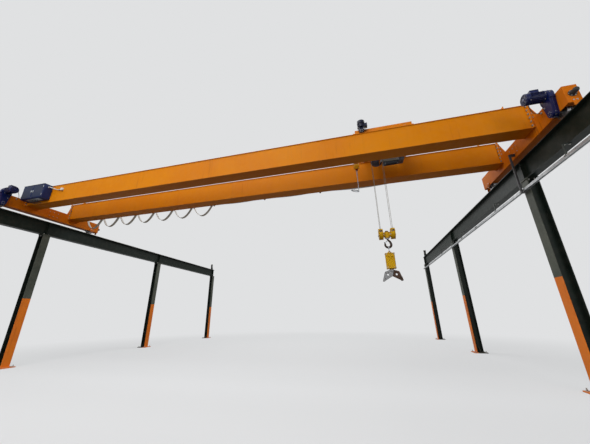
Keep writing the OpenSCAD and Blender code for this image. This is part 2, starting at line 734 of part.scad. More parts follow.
// A forged single hook: nut and shank, round bowl and tapered point
hook_x = (fall_l + fall_r) / 2;
shank_r = 24;
bowl_r = 75;
bowl_z = block_z - 290;
tip_angle = 190;
module hook() {
    color([0.22, 0.22, 0.23]) translate([hook_x, bridge_y, bowl_z]) {
        translate([0, 0, bowl_r]) cylinder(h = block_z + head_top + 40 - bowl_z - bowl_r, r = shank_r);
        translate([0, 0, block_z + head_top + pin_gap - bowl_z]) cylinder(h = 28, r = 40, $fn = 6);
        rotate([90, 0, 0])
            rotate_extrude(angle = 450 - tip_angle, start = tip_angle - 360, $fn = 72)
                translate([bowl_r, 0]) circle(r = shank_r, $fn = 32);
        translate([bowl_r * cos(tip_angle), 0, bowl_r * sin(tip_angle)])
            rotate([0, 180 - tip_angle, 0]) translate([0, 0, -4])
                cylinder(h = 52, r1 = shank_r - 0.6, r2 = 11, $fn = 32);
    }
}

// A long link hangs in the bowl and carries the clamp's eye
link_r = 45;
link_bar = 9;
link_s = 62;
link_top = bowl_z - bowl_r + shank_r + link_bar + pin_gap;
link_z = link_top - link_r - link_s / 2;
module clamp_link() {
    bare_steel() translate([hook_x, bridge_y, link_z]) {
        for (e = [0, 1])
            mirror([0, 0, e]) translate([0, 0, link_s / 2]) rotate([90, 0, 90])
                rotate_extrude(angle = 180, $fn = 64) translate([link_r, 0]) circle(r = link_bar, $fn = 24);
        for (s = [-1, 1])
            translate([0, s * link_r, -link_s / 2 - 2]) cylinder(h = link_s + 4, r = link_bar - 0.3, $fn = 24);
    }
}

eye_r = 15;
eye_z = link_z - link_s / 2 - link_r + link_bar + 1.5 - eye_r;
clamp_w = 222;
clamp_d = 150;
clamp_h = 390;
clamp_top = eye_z - 32;
clamp_foot = clamp_top - clamp_h;
pivot_z = clamp_foot - 58;
pivot_r = 16;
module clamp_body() {
    block_yellow() translate([hook_x, bridge_y, 0]) difference() {
        union() {
            rotate([90, 0, 0]) linear_extrude(20, center = true) hull() {
                translate([0, eye_z]) circle(r = eye_r + 15);
                translate([-60, clamp_top - 1]) square([120, 1]);
            }
            translate([0, 0, clamp_foot]) linear_extrude(clamp_h)
                polygon(chamfered(clamp_w, clamp_d, 16));
            for (z = [clamp_foot, clamp_top - 14])
                translate([0, 0, z]) linear_extrude(14)
                    polygon(chamfered(clamp_w + 12, clamp_d + 12, 18));
            rotate([90, 0, 0]) linear_extrude(16, center = true) hull() {
                translate([0, pivot_z]) circle(r = 34);
                translate([-55, clamp_foot - 1]) square([110, 2]);
            }
        }
        translate([0, 0, eye_z]) rotate([90, 0, 0]) cylinder(h = 22, r = eye_r, center = true);
        translate([0, 0, pivot_z]) rotate([90, 0, 0])
            cylinder(h = 22, r = pivot_r + pin_gap, center = true);
        for (s = [-1, 1])
            translate([-clamp_w / 2 + 34, s * clamp_d / 2 - 3, clamp_foot + 50])
                cube([clamp_w - 68, 6, clamp_h - 100]);
        for (s = [-1, 1])
            translate([s * clamp_w / 2 - 3, -clamp_d / 2 + 34, clamp_foot + 50])
                cube([6, clamp_d - 68, clamp_h - 100]);
    }
}

// Two tong arms of paired plates turn on one pin and end in gripping pads
foot_x = 222;
foot_drop = 232;
pad_t = 30;
module tong_plate(side, y, bore) {
    translate([hook_x, bridge_y, pivot_z]) mirror([side < 0 ? 1 : 0, 0, 0])
        for (s = [-1, 1])
            translate([0, s * y, 0]) rotate([90, 0, 0]) linear_extrude(12, center = true) difference() {
                hull() {
                    circle(r = 40);
                    translate([0.64 * foot_x, -46]) circle(r = 37);
                    translate([foot_x, -foot_drop]) circle(r = 18);
                    translate([13, -116]) circle(r = 16);
                }
                circle(r = bore);
                translate([0.46 * foot_x, -88]) circle(r = 26);
            }
}

module tong_pad(side) {
    translate([hook_x + side * (foot_x - pad_t / 2), bridge_y, pivot_z - foot_drop + 30])
        cube([pad_t, 120, 88], center = true);
}

module jaw_left() {
    color([0.72, 0.73, 0.74]) {
        tong_plate(-1, 38, pivot_r - 1);
        tong_pad(-1);
        translate([hook_x, bridge_y, pivot_z]) rotate([90, 0, 0]) cylinder(h = 116, r = pivot_r, center = true);
    }
}

module jaw_right() {
    color([0.36, 0.27, 0.20]) {
        tong_plate(1, 20, pivot_r + pin_gap);
        tong_pad(1);
    }
}

column(-1, 1);  // column_left_1
column(-1, 2);  // column_left_2
column(-1, 3);  // column_left_3
column(-1, 4);  // column_left_4
column(1, 1);  // column_right_1
column(1, 2);  // column_right_2
column(1, 3);  // column_right_3
column(1, 4);  // column_right_4
runway_beam(-1);  // runway_beam_left
runway_beam(1);  // runway_beam_right
runway_rail(-1);  // rail_left
runway_rail(1);  // rail_right
runway_stops();
conductor_rail();
girder(-1);  // girder_near
girder(1);  // girder_far
carriage(-1);  // carriage_left
carriage(1);  // carriage_right
bridge_buffers();
travel_drive(-1);  // travel_drive_left
travel_drive(1);  // travel_drive_right
bridge_wheel(-1, -1);  // wheel_left_near
bridge_wheel(-1, 1);  // wheel_left_far
bridge_wheel(1, -1);  // wheel_right_near
bridge_wheel(1, 1);  // wheel_right_far
trolley_rail(-1);  // trolley_rail_near
trolley_rail(1);  // trolley_rail_far
trolley_stops();
festoon_track();
festoon_carriers();
festoon_cable();
control_cabinet();
current_collector();
trolley_frame();
trolley_wheel(-1, -1);  // trolley_wheel_1
trolley_wheel(1, -1);  // trolley_wheel_2
trolley_wheel(-1, 1);  // trolley_wheel_3
trolley_wheel(1, 1);  // trolley_wheel_4
trolley_drive();
hoist_drum();
hoist_gearbox();
hoist_motor();
top_sheave();
tow_arm();
limit_arm();
limit_switch();
limit_ring();
hoist_ropes();
hook_block();
block_sheave(fall_l);  // sheave_left
block_sheave(fall_r);  // sheave_right
hook();
clamp_link();
clamp_body();
jaw_left();
jaw_right();
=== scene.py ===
import math
import random
from itertools import product

import bmesh
import bpy
from mathutils import Euler, Matrix, Vector, noise


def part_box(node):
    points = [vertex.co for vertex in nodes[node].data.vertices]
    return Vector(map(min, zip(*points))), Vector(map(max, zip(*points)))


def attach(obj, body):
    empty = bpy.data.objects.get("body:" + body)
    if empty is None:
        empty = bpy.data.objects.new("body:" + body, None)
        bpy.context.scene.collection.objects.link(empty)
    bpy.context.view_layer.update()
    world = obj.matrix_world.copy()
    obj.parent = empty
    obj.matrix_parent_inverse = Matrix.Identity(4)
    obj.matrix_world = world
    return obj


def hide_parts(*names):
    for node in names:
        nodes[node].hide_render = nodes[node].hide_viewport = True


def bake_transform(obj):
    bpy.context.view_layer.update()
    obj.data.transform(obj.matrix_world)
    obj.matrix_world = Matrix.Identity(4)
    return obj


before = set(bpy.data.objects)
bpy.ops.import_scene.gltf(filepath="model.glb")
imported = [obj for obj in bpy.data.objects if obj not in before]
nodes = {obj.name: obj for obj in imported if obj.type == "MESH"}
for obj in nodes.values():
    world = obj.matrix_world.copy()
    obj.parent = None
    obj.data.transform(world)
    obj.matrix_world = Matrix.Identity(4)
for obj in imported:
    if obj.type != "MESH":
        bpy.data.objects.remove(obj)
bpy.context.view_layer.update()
random.seed(4)
print("frame loaded,", len(nodes), "CAD nodes")

# The camera stands on the workshop floor and looks up at the bridge
cameraSettings = {"place": (3.787, -9.95, 1.5), "angles": (109.755, 0.822, 14.493), "lens": 15.86, "clip": (0.1, 400.0)}
cameraData = bpy.data.cameras.new("workshopCamera")
cameraData.lens = cameraSettings["lens"]
cameraData.clip_start, cameraData.clip_end = cameraSettings["clip"]
camera = bpy.data.objects.new("workshopCamera", cameraData)
camera.location = cameraSettings["place"]
camera.rotation_euler = [math.radians(a) for a in cameraSettings["angles"]]
bpy.context.scene.collection.objects.link(camera)
bpy.context.scene.camera = camera


def lowCorner(name):
    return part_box(name)[0]


def highCorner(name):
    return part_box(name)[1]


def middleOf(name, axis):
    return (lowCorner(name)[axis] + highCorner(name)[axis]) / 2


# Steps that the materials are put together from

def paint(red, green, blue):
    # a colour as a paint chart gives it, 0 to 255, made linear for the shader
    shares = (c / 255 for c in (red, green, blue))
    return tuple(((c + 0.055) / 1.055) ** 2.4 if c > 0.04 else c / 12.92 for c in shares) + (1.0,)


def feed(tree, value, socket):
    if isinstance(value, bpy.types.NodeSocket):
        tree.links.new(value, socket)
    else:
        socket.default_value = value


def mathStep(tree, kind, first, second=0.5, clamp=False):
    step = tree.nodes.new("ShaderNodeMath")
    step.operation, step.use_clamp = kind, clamp
    feed(tree, first, step.inputs[0])
    feed(tree, second, step.inputs[1])
    return step.outputs[0]


def times(tree, first, second, clamp=False):
    return mathStep(tree, "MULTIPLY", first, second, clamp)


def plus(tree, first, second, clamp=False):
    return mathStep(tree, "ADD", first, second, clamp)


def rangeStep(tree, value, low, high, toLow=0.0, toHigh=1.0):
    step = tree.nodes.new("ShaderNodeMapRange")
    step.interpolation_type = "SMOOTHSTEP"
    for label, v in (("Value", value), ("From Min", low), ("From Max", high), ("To Min", toLow), ("To Max", toHigh)):
        feed(tree, v, step.inputs[label])
    return step.outputs["Result"]


def blendStep(tree, mask, first, second):
    step = tree.nodes.new("ShaderNodeMix")
    step.data_type = "RGBA"
    for label, value in (("Factor", mask), ("A", first), ("B", second)):
        feed(tree, value, step.inputs[label])
    return step.outputs["Result"]


def objectPlace(tree, stretch=None):
    place = tree.nodes.new("ShaderNodeTexCoord").outputs["Object"]
    if stretch is None:
        return place
    mapping = tree.nodes.new("ShaderNodeMapping")
    mapping.inputs["Scale"].default_value = stretch
    feed(tree, place, mapping.inputs["Vector"])
    return mapping.outputs["Vector"]


def noiseStep(tree, scale, detail=4.0, rough=0.55, stretch=None):
    step = tree.nodes.new("ShaderNodeTexNoise")
    for label, value in (("Vector", objectPlace(tree, stretch)), ("Scale", scale), ("Detail", detail), ("Roughness",
        rough)):
        feed(tree, value, step.inputs[label])
    return step.outputs["Fac"]


def axesOf(tree, vector):
    split = tree.nodes.new("ShaderNodeSeparateXYZ")
    feed(tree, vector, split.inputs[0])
    return split.outputs


def surfaceNormal(tree):
    return tree.nodes.new("ShaderNodeNewGeometry").outputs["Normal"]


def startGroup(name, inputs, outputs):
    # a tuple starts a colour input and a number a value; of the outputs only Color is a colour
    group = bpy.data.node_groups.new(name, "ShaderNodeTree")
    for label, start in inputs.items():
        kind = "NodeSocketColor" if isinstance(start, tuple) else "NodeSocketFloat"
        group.interface.new_socket(name=label, in_out="INPUT", socket_type=kind).default_value = start
    for label in outputs:
        kind = "NodeSocketColor" if label == "Color" else "NodeSocketFloat"
        group.interface.new_socket(name=label, in_out="OUTPUT", socket_type=kind)
    return group, group.nodes.new("NodeGroupInput").outputs, group.nodes.new("NodeGroupOutput").inputs


def coverWith(tree, mask, taken, label, given):
    # the layer's own colour lies over the one below wherever the mask says
    feed(tree, blendStep(tree, mask, taken["Color"], taken[label]), given["Color"])
    feed(tree, mask, given["Mask"])
    return tree


def placeGroup(tree, group, **values):
    step = tree.nodes.new("ShaderNodeGroup")
    step.node_tree = group
    for label, value in values.items():
        feed(tree, value, step.inputs[label.replace("_", " ")])
    return step


# Shared effects, each built once as a node group
grey = (0.5, 0.5, 0.5, 1)
film = {"fineTimes": 14.0, "slowShare": 0.75, "fineShare": 0.25, "fading": (0.36, 0.66), "roughSwing": 0.25}
marks = {"stretch": (1.0, 1.0, 0.07), "thinTimes": 2.2, "thin": (0.52, 0.74), "patchScale": 0.8, "patch": (0.35, 0.7),
         "upright": (0.75, 0.35)}
dusting = {"up": (0.2, 0.95), "patches": (0.2, 0.75, 0.45, 1.0), "wall": (0.35, 0.8), "wallShare": 0.10}
rubbing = {"edge": (0.995, 0.90), "chips": (0.42, 0.58), "samples": 4}
steelGrain = {"fineTimes": 16.0, "scaleShare": (0.3, 0.7, 0.0, 0.35), "millScale": (0.02, 0.02, 0.02, 1),
    "coarseShare": 0.6,
              "fineShare": 0.4, "rust": (0.48, 0.66), "coarseRough": 0.3, "roughSwing": 0.5, "rustCover": 0.9}


def buildPaintFilm():
    # slow drift of the colour, finer mottling and the skin of a sprayed coat
    tree, taken, given = startGroup(
        "Paint film", {"Color": grey, "Faded": (0.6, 0.6, 0.6, 1), "Drift": 0.4, "Drift Scale": 0.6, "Roughness": 0.4,
                       "Skin Scale": 160.0}, ("Color", "Roughness", "Height"))
    slow = noiseStep(tree, taken["Drift Scale"], 3.0)
    fine = noiseStep(tree, times(tree, taken["Drift Scale"], film["fineTimes"]), 5.0)
    both = plus(tree, times(tree, slow, film["slowShare"]), times(tree, fine, film["fineShare"]))
    mask = times(tree, rangeStep(tree, both, *film["fading"]), taken["Drift"])
    swing = times(tree, mathStep(tree, "SUBTRACT", fine, 0.5), film["roughSwing"])
    feed(tree, blendStep(tree, mask, taken["Color"], taken["Faded"]), given["Color"])
    feed(tree, plus(tree, taken["Roughness"], swing, True), given["Roughness"])
    feed(tree, noiseStep(tree, taken["Skin Scale"], 2.0), given["Height"])
    return tree


def buildRunMarks():
    # dirt that water and oil have drawn down the walls, in patches
    tree, taken, given = startGroup(
        "Run marks", {"Color": grey, "Dirt": (0.05, 0.04, 0.03, 1), "Amount": 0.3, "Spacing": 7.0}, ("Color", "Mask"))
    thin = noiseStep(tree, times(tree, taken["Spacing"], marks["thinTimes"]), 4.0, 0.6, marks["stretch"])
    patch = noiseStep(tree, marks["patchScale"], 3.0)
    steep = mathStep(tree, "ABSOLUTE", axesOf(tree, surfaceNormal(tree))["Z"], 0)
    mask = times(tree, rangeStep(tree, thin, *marks["thin"]), rangeStep(tree, patch, *marks["patch"]))
    mask = times(tree, times(tree, mask, rangeStep(tree, steep, *marks["upright"])), taken["Amount"], True)
    return coverWith(tree, mask, taken, "Dirt", given)


def buildSettledDust():
    # dust lies on what looks up and hardly at all on walls
    tree, taken, given = startGroup(
        "Settled dust", {"Color": grey, "Dust": (0.42, 0.38, 0.33, 1), "Amount": 0.5, "Grain": 9.0}, ("Color", "Mask"))
    up = rangeStep(tree, axesOf(tree, surfaceNormal(tree))["Z"], *dusting["up"])
    drift = noiseStep(tree, taken["Grain"], 6.0, 0.65)
    mask = times(tree, times(tree, up, rangeStep(tree, drift, *dusting["patches"])), taken["Amount"], True)
    wall = times(tree, times(tree, rangeStep(tree, drift, *dusting["wall"]), taken["Amount"]), dusting["wallShare"])
    return coverWith(tree, mathStep(tree, "MAXIMUM", mask, wall), taken, "Dust", given)


def buildRubbedEdges():
    # where a corner is sharp the coat is rubbed through to the metal
    tree, taken, given = startGroup(
        "Rubbed edges", {"Color": grey, "Bare": (0.25, 0.24, 0.23, 1), "Width": 0.004, "Amount": 0.6,
            "Chip Scale": 30.0},
        ("Color", "Mask"))
    rounded = tree.nodes.new("ShaderNodeBevel")
    rounded.samples = rubbing["samples"]
    feed(tree, taken["Width"], rounded.inputs["Radius"])
    likeness = tree.nodes.new("ShaderNodeVectorMath")
    likeness.operation = "DOT_PRODUCT"
    feed(tree, surfaceNormal(tree), likeness.inputs[0])
    feed(tree, rounded.outputs["Normal"], likeness.inputs[1])
    edge = rangeStep(tree, likeness.outputs["Value"], *rubbing["edge"])
    chips = rangeStep(tree, noiseStep(tree, taken["Chip Scale"], 5.0, 0.7), *rubbing["chips"])
    return coverWith(tree, times(tree, times(tree, edge, chips), taken["Amount"], True), taken, "Bare", given)


def buildMetalGrain():
    # mill scale, brushing and faint rust for bare steel
    g = steelGrain
    tree, taken, given = startGroup(
        "Metal grain", {"Color": (0.3, 0.3, 0.3, 1), "Rust": (0.12, 0.045, 0.02, 1), "Rust Amount": 0.2, "Scale": 12.0,
                        "Roughness": 0.4}, ("Color", "Roughness", "Metal", "Height"))
    coarse = noiseStep(tree, taken["Scale"], 6.0, 0.65)
    fine = noiseStep(tree, times(tree, taken["Scale"], g["fineTimes"]), 4.0, 0.7)
    tint = blendStep(tree, rangeStep(tree, coarse, *g["scaleShare"]), taken["Color"], g["millScale"])
    spots = plus(tree, times(tree, coarse, g["coarseShare"]), times(tree, fine, g["fineShare"]))
    rust = times(tree, rangeStep(tree, spots, *g["rust"]), taken["Rust Amount"], True)
    swing = times(tree, plus(tree, rust, times(tree, coarse, g["coarseRough"])), g["roughSwing"])
    feed(tree, blendStep(tree, rust, tint, taken["Rust"]), given["Color"])
    feed(tree, plus(tree, taken["Roughness"], swing, True), given["Roughness"])
    feed(tree, mathStep(tree, "SUBTRACT", 1.0, times(tree, rust, g["rustCover"]), True), given["Metal"])
    feed(tree, fine, given["Height"])
    return tree


paintFilm, runMarks, settledDust = buildPaintFilm(), buildRunMarks(), buildSettledDust()
rubbedEdges, metalGrain = buildRubbedEdges(), buildMetalGrain()


# Materials

def newMaterial(name):
    material = bpy.data.materials.new(name)
    material.use_nodes = True
    return material, material.node_tree, material.node_tree.nodes["Principled BSDF"]


def relief(tree, shader, height, strength, distance):
    bump = tree.nodes.new("ShaderNodeBump")
    for label, value in (("Strength", strength), ("Distance", distance), ("Height", height)):
        feed(tree, value, bump.inputs[label])
    feed(tree, bump.outputs["Normal"], shader.inputs["Normal"])


def paintedMaterial(name, colour, faded, dirt, changes):
    material, tree, shader = newMaterial(name)
    f = {**paintBasics, **changes}
    coat = placeGroup(tree, paintFilm, Color=paint(*colour), Faded=paint(*faded), Drift=f["drift"],
                      Drift_Scale=f["driftScale"], Roughness=f["roughness"], Skin_Scale=f["skinScale"])
    runs = placeGroup(tree, runMarks, Color=coat.outputs["Color"], Dirt=paint(*dirt), Amount=f["runs"],
                      Spacing=f["runSpacing"])
    edges = placeGroup(tree, rubbedEdges, Color=runs.outputs["Color"], Bare=paint(*f["bare"]), Width=f["rubWidth"],
                       Amount=f["rub"])
    dust = placeGroup(tree, settledDust, Color=edges.outputs["Color"], Dust=paint(*f["dustColour"]), Amount=f["dust"],
                      Grain=f["dustGrain"])
    feed(tree, dust.outputs["Color"], shader.inputs["Base Color"])
    dull = times(tree, dust.outputs["Mask"], f["dustRough"])
    feed(tree, plus(tree, coat.outputs["Roughness"], dull, True), shader.inputs["Roughness"])
    shader.inputs["Specular IOR Level"].default_value = f["gloss"]
    relief(tree, shader, coat.outputs["Height"], f["skin"], 0.002)
    return material


def metalMaterial(name, f):
    material, tree, shader = newMaterial(name)
    grain = placeGroup(tree, metalGrain, Color=paint(*f["colour"]), Rust_Amount=f["rust"], Scale=f["scale"],
                       Roughness=f["roughness"])
    dust = placeGroup(tree, settledDust, Color=grain.outputs["Color"], Amount=f["dust"], Grain=11.0)
    clean = mathStep(tree, "SUBTRACT", 1.0, dust.outputs["Mask"], True)
    feed(tree, dust.outputs["Color"], shader.inputs["Base Color"])
    feed(tree, grain.outputs["Roughness"], shader.inputs["Roughness"])
    feed(tree, times(tree, grain.outputs["Metal"], clean), shader.inputs["Metallic"])
    relief(tree, shader, grain.outputs["Height"], f["relief"], 0.001)
    return material


paintBasics = {
    "drift": 0.5, "driftScale": 0.7, "skinScale": 170.0, "skin": 0.12, "roughness": 0.38, "gloss": 0.5, "runs": 0.35,
    "runSpacing": 7.0, "bare": (96, 84, 74), "rubWidth": 0.004, "rub": 0.7, "dust": 0.55, "dustGrain": 6.0,
    "dustColour": (150, 140, 126), "dustRough": 0.45,
}
# each paint has its colour, how it fades, the colour of its dirt, and what differs from the basics
paintFinishes = {
    "girderPaint": ((206, 124, 2), (194, 106, 5), (104, 50, 10), {"gloss": 0.08, "roughness": 0.5, "runs": 0.2,
        "dust": 0.45}),
    "carriagePaint": ((198, 106, 6), (178, 86, 10), (70, 32, 16), {"gloss": 0.05, "roughness": 0.56, "runs": 0.5,
        "driftScale": 1.6}),
    "trolleyPaint": ((202, 116, 4), (182, 96, 8), (60, 36, 18), {"gloss": 0.12, "runs": 0.45, "driftScale": 2.4}),
    # the runway's dark green paint is darkened further to near black as painted shade
    "runwayGreenAndShade": ((13, 23, 18), (22, 33, 28), (16, 13, 10), {"roughness": 0.46, "gloss": 0.12, "runs": 0.35,
        "driftScale": 1.1, "dust": 0.45}),
    "drivePaint": ((4, 18, 68), (8, 28, 80), (10, 10, 16), {"roughness": 0.36, "gloss": 0.17, "driftScale": 3.0,
        "runs": 0.4, "dust": 0.28}),
    "trolleyDrivePaint": ((9, 17, 42), (14, 25, 52), (10, 11, 16), {"roughness": 0.36, "gloss": 0.2,
        "driftScale": 3.0, "runs": 0.4, "dust": 0.28}),
    # the hoist's navy paint is darkened to near black as painted shade, the shade it hangs in under the trolley
    "hoistNavyShade": ((20, 24, 40), (30, 33, 48), (10, 10, 14), {"roughness": 0.36, "driftScale": 3.0, "runs": 0.4,
        "dust": 0.45}),
    "cabinetPaint": ((14, 34, 80), (22, 44, 92), (24, 34, 50), {"gloss": 0.2, "dust": 0.3, "roughness": 0.4,
        "driftScale": 2.2, "runs": 0.25}),
    "cabinetDoorPaint": ((28, 39, 66), (24, 37, 68), (44, 52, 78), {"gloss": 0.15, "dust": 0.3, "roughness": 0.36,
        "driftScale": 2.2, "runs": 0.3}),
    "conduitGrey": ((206, 206, 202), (186, 184, 178), (90, 84, 76), {"roughness": 0.5, "rub": 0.0, "driftScale": 5.0,
        "dust": 0.3}),
    # the rear jaw's dark brown is painted shade, the shadow the front jaw throws on it
    "jawShadedBrown": ((60, 44, 34), (82, 52, 34), (36, 24, 18), {"gloss": 0.25, "roughness": 0.66, "driftScale": 9.0,
        "runs": 0.4, "runSpacing": 18.0, "rub": 0.8, "rubWidth": 0.005}),
    "jawSteel": ((146, 148, 151), (122, 123, 125), (84, 76, 66), {"gloss": 0.35, "roughness": 0.42, "driftScale": 7.0,
        "runs": 0.4, "runSpacing": 18.0, "rub": 0.9, "rubWidth": 0.005}),
    "blockPaint": ((204, 158, 2), (186, 138, 5), (96, 72, 22), {"roughness": 0.44, "gloss": 0.14, "driftScale": 6.0,
        "runs": 0.3, "runSpacing": 22.0, "bare": (112, 92, 60)}),
    "switchPaint": ((150, 26, 20), (124, 26, 22), (40, 14, 12), {"driftScale": 9.0}),
    "plasticGrey": ((96, 100, 104), (112, 116, 118), (40, 26, 18), {"roughness": 0.55, "rub": 0.0, "driftScale": 6.0}),
    "plasticBlack": ((34, 34, 37), (48, 48, 50), (40, 26, 18), {"roughness": 0.6, "rub": 0.0, "driftScale": 9.0}),
    "rubberBlack": ((26, 26, 27), (46, 44, 42), (40, 26, 18), {"roughness": 0.8, "rub": 0.0, "driftScale": 12.0,
        "skin": 0.3}),
    "cableJacket": ((198, 198, 192), (170, 168, 160), (90, 84, 76), {"roughness": 0.5, "rub": 0.0, "driftScale": 5.0,
        "dust": 0.3}),
}
metalKeys = ("colour", "rust", "scale", "roughness", "dust", "relief")
metalFinishes = {
    "railSteel": ((150, 148, 146), 0.55, 5.0, 0.34, 0.35, 0.3),
    "wheelSteel": ((134, 133, 134), 0.35, 16.0, 0.36, 0.3, 0.3),
    "forgedSteel": ((92, 88, 86), 0.3, 22.0, 0.5, 0.25, 0.7),
    "hookSteel": ((58, 48, 42), 0.55, 18.0, 0.52, 0.2, 0.8),
    "boltSteel": ((168, 166, 160), 0.2, 30.0, 0.4, 0.3, 0.3),
    "zincSteel": ((176, 180, 184), 0.05, 26.0, 0.38, 0.3, 0.3),
    "conductorCover": ((170, 172, 173), 0.0, 8.0, 0.46, 0.4, 0.15),
}
materials = {name: paintedMaterial(name, *finish) for name, finish in paintFinishes.items()}
for name, values in metalFinishes.items():
    materials[name] = metalMaterial(name, dict(zip(metalKeys, values)))


def columnMaterial():
    # the inner face of each column is marked orange up to head height, and the inner side is painted a paler grey as
    # painted light, where light falls on it
    marking = {"top": 2.2, "inner": 7.9, "colour": paint(226, 122, 34), "faded": paint(206, 104, 30),
               "flange": paint(96, 100, 90), "litFlangeShare": 0.75}
    material = paintedMaterial("columnPaint", *paintFinishes["runwayGreenAndShade"])
    tree = material.node_tree
    coat = next(n for n in tree.nodes if n.type == "GROUP" and n.node_tree == paintFilm)
    place = axesOf(tree, objectPlace(tree))
    inside = mathStep(tree, "LESS_THAN", mathStep(tree, "ABSOLUTE", place["X"], 0), marking["inner"])
    mask = times(tree, inside, mathStep(tree, "LESS_THAN", place["Z"], marking["top"]))
    plain, old = coat.inputs["Color"].default_value[:], coat.inputs["Faded"].default_value[:]
    # painted light: the inner side of the column is blended towards pale grey
    flange = blendStep(tree, times(tree, inside, marking["litFlangeShare"]), plain, marking["flange"])
    feed(tree, blendStep(tree, mask, flange, marking["colour"]), coat.inputs["Color"])
    feed(tree, blendStep(tree, mask, old, marking["faded"]), coat.inputs["Faded"])
    return material


def hangerPaint(material):
    # above the pale cover the hangers wear the beam's dark paint
    hanger = {"foot": lowCorner("conductor_rail")[2] + 0.0605, "colour": paint(20, 30, 25), "roughness": 0.6}
    tree = material.node_tree
    sockets = tree.nodes["Principled BSDF"].inputs
    above = mathStep(tree, "GREATER_THAN", axesOf(tree, objectPlace(tree))["Z"], hanger["foot"])
    for label, painted in (("Base Color", hanger["colour"]), ("Roughness", hanger["roughness"]), ("Metallic", 0.0)):
        bare = sockets[label].links[0].from_socket
        if label == "Base Color":
            feed(tree, blendStep(tree, above, bare, painted), sockets[label])
        else:
            feed(tree, rangeStep(tree, above, 0.0, 1.0, bare, painted), sockets[label])


def ropeMaterial():
    # laid wires catch the light on the crown of every strand
    wires = {"colour": paint(132, 128, 118), "rust": 0.2, "scale": 60.0, "roughness": 0.45, "wireScale": 900.0,
             "stretch": (1, 1, 1.6)}
    material, tree, shader = newMaterial("laidRope")
    grain = placeGroup(tree, metalGrain, Color=wires["colour"], Rust_Amount=wires["rust"], Scale=wires["scale"],
                       Roughness=wires["roughness"])
    for label, socket in (("Color", "Base Color"), ("Roughness", "Roughness"), ("Metal", "Metallic")):
        feed(tree, grain.outputs[label], shader.inputs[socket])
    relief(tree, shader, noiseStep(tree, wires["wireScale"], 2.0, stretch=wires["stretch"]), 0.5, 0.0006)
    return material


materials["columnPaint"] = columnMaterial()
hangerPaint(materials["conductorCover"])
materials["laidRope"] = ropeMaterial()
print("materials made:", len(materials))

# Which finish each CAD node wears, by the start of its name
nodeFinish = {
    # the runway beams and columns wear a dark green darkened with painted shade
    "column": "columnPaint", "runway": "runwayGreenAndShade", "rail": "railSteel", "conductor": "conductorCover",
    "girder": "girderPaint", "carriage": "carriagePaint", "bridge_buffers": "rubberBlack",
    "travel_drive": "drivePaint", "wheel": "wheelSteel", "trolley_rail": "railSteel", "trolley_stops": "girderPaint",
    "festoon_track": "zincSteel", "festoon_carriers": "plasticBlack", "festoon_cable": "cableJacket",
    "control_cabinet": "cabinetPaint", "current_collector": "plasticBlack", "trolley_frame": "trolleyPaint",
    "trolley_wheel": "wheelSteel", "trolley_drive": "trolleyDrivePaint", "hoist_drum": "wheelSteel",
    # the hoist's gearbox, motor and top sheave wear the navy darkened with painted shade
    "hoist_gearbox": "hoistNavyShade", "hoist_motor": "hoistNavyShade", "top_sheave": "hoistNavyShade", "tow_arm": "trolleyPaint",
    "limit_arm": "blockPaint", "limit_switch": "switchPaint", "limit_ring": "zincSteel", "hoist_ropes": "laidRope",
    "hook_block": "blockPaint", "sheave": "wheelSteel", "hook": "hookSteel", "clamp_link": "zincSteel",
    "clamp_body": "blockPaint", "jaw_left": "jawSteel", "jaw_right": "jawShadedBrown",
}
for name, node in nodes.items():
    start = max((start for start in nodeFinish if name.startswith(start)), key=len)
    node.data.materials.clear()
    node.data.materials.append(materials[nodeFinish[start]])

# Soft corners on the plates and castings that are seen closest, by their width
softCorners = {
    0.004: ("girder_", "carriage_", "trolley_frame", "control_cabinet", "travel_drive_", "trolley_drive",
            "hoist_gearbox", "trolley_stops", "tow_arm"),
    0.003: ("runway_", "rail_", "trolley_rail_", "current_collector", "limit_arm", "limit_switch", "hook_block",
            "clamp_body", "jaw_"),
}
for (width, starts), (name, node) in product(softCorners.items(), nodes.items()):
    if name.startswith(starts):
        node.modifiers.new("weld", "WELD").merge_threshold = 0.00005
        soft = node.modifiers.new("soft corners", "BEVEL")
        soft.width, soft.segments, soft.limit_method, soft.angle_limit = width, 2, "ANGLE", math.radians(50)
print("CAD nodes dressed")


# Shapes that many pieces share, each in a mesh of its own at the origin

def keepMesh(bm, name="shape"):
    mesh = bpy.data.meshes.new(name)
    bm.to_mesh(mesh)
    bm.free()
    return mesh


def roundEdges(bm, edges, width, segments=2):
    bmesh.ops.bevel(bm, geom=edges, offset=width, offset_type="OFFSET", affect="EDGES", segments=segments,
                    profile=0.5, material=-1)


def boxMesh(low, high, width=0.003, segments=2):
    bm = bmesh.new()
    bmesh.ops.create_cube(bm, size=1.0)
    low, high = Vector(low), Vector(high)
    bmesh.ops.scale(bm, vec=high - low, verts=bm.verts)
    bmesh.ops.translate(bm, vec=(low + high) / 2, verts=bm.verts)
    roundEdges(bm, bm.edges[:], min(width, 0.45 * min(high - low)), segments)
    return keepMesh(bm)


def turnedMesh(profile, segments=48):
    # a profile of (radius, height) turned once about the upright axis
    bm = bmesh.new()
    points = [bm.verts.new((r, 0, z)) for r, z in profile]
    edges = [bm.edges.new(pair) for pair in zip(points, points[1:])]
    bmesh.ops.spin(bm, geom=points + edges, cent=(0, 0, 0), axis=(0, 0, 1), angle=math.tau, steps=segments,
                   use_merge=True)
    bmesh.ops.remove_doubles(bm, verts=bm.verts, dist=0.00002)
    bmesh.ops.recalc_face_normals(bm, faces=bm.faces)
    return keepMesh(bm)


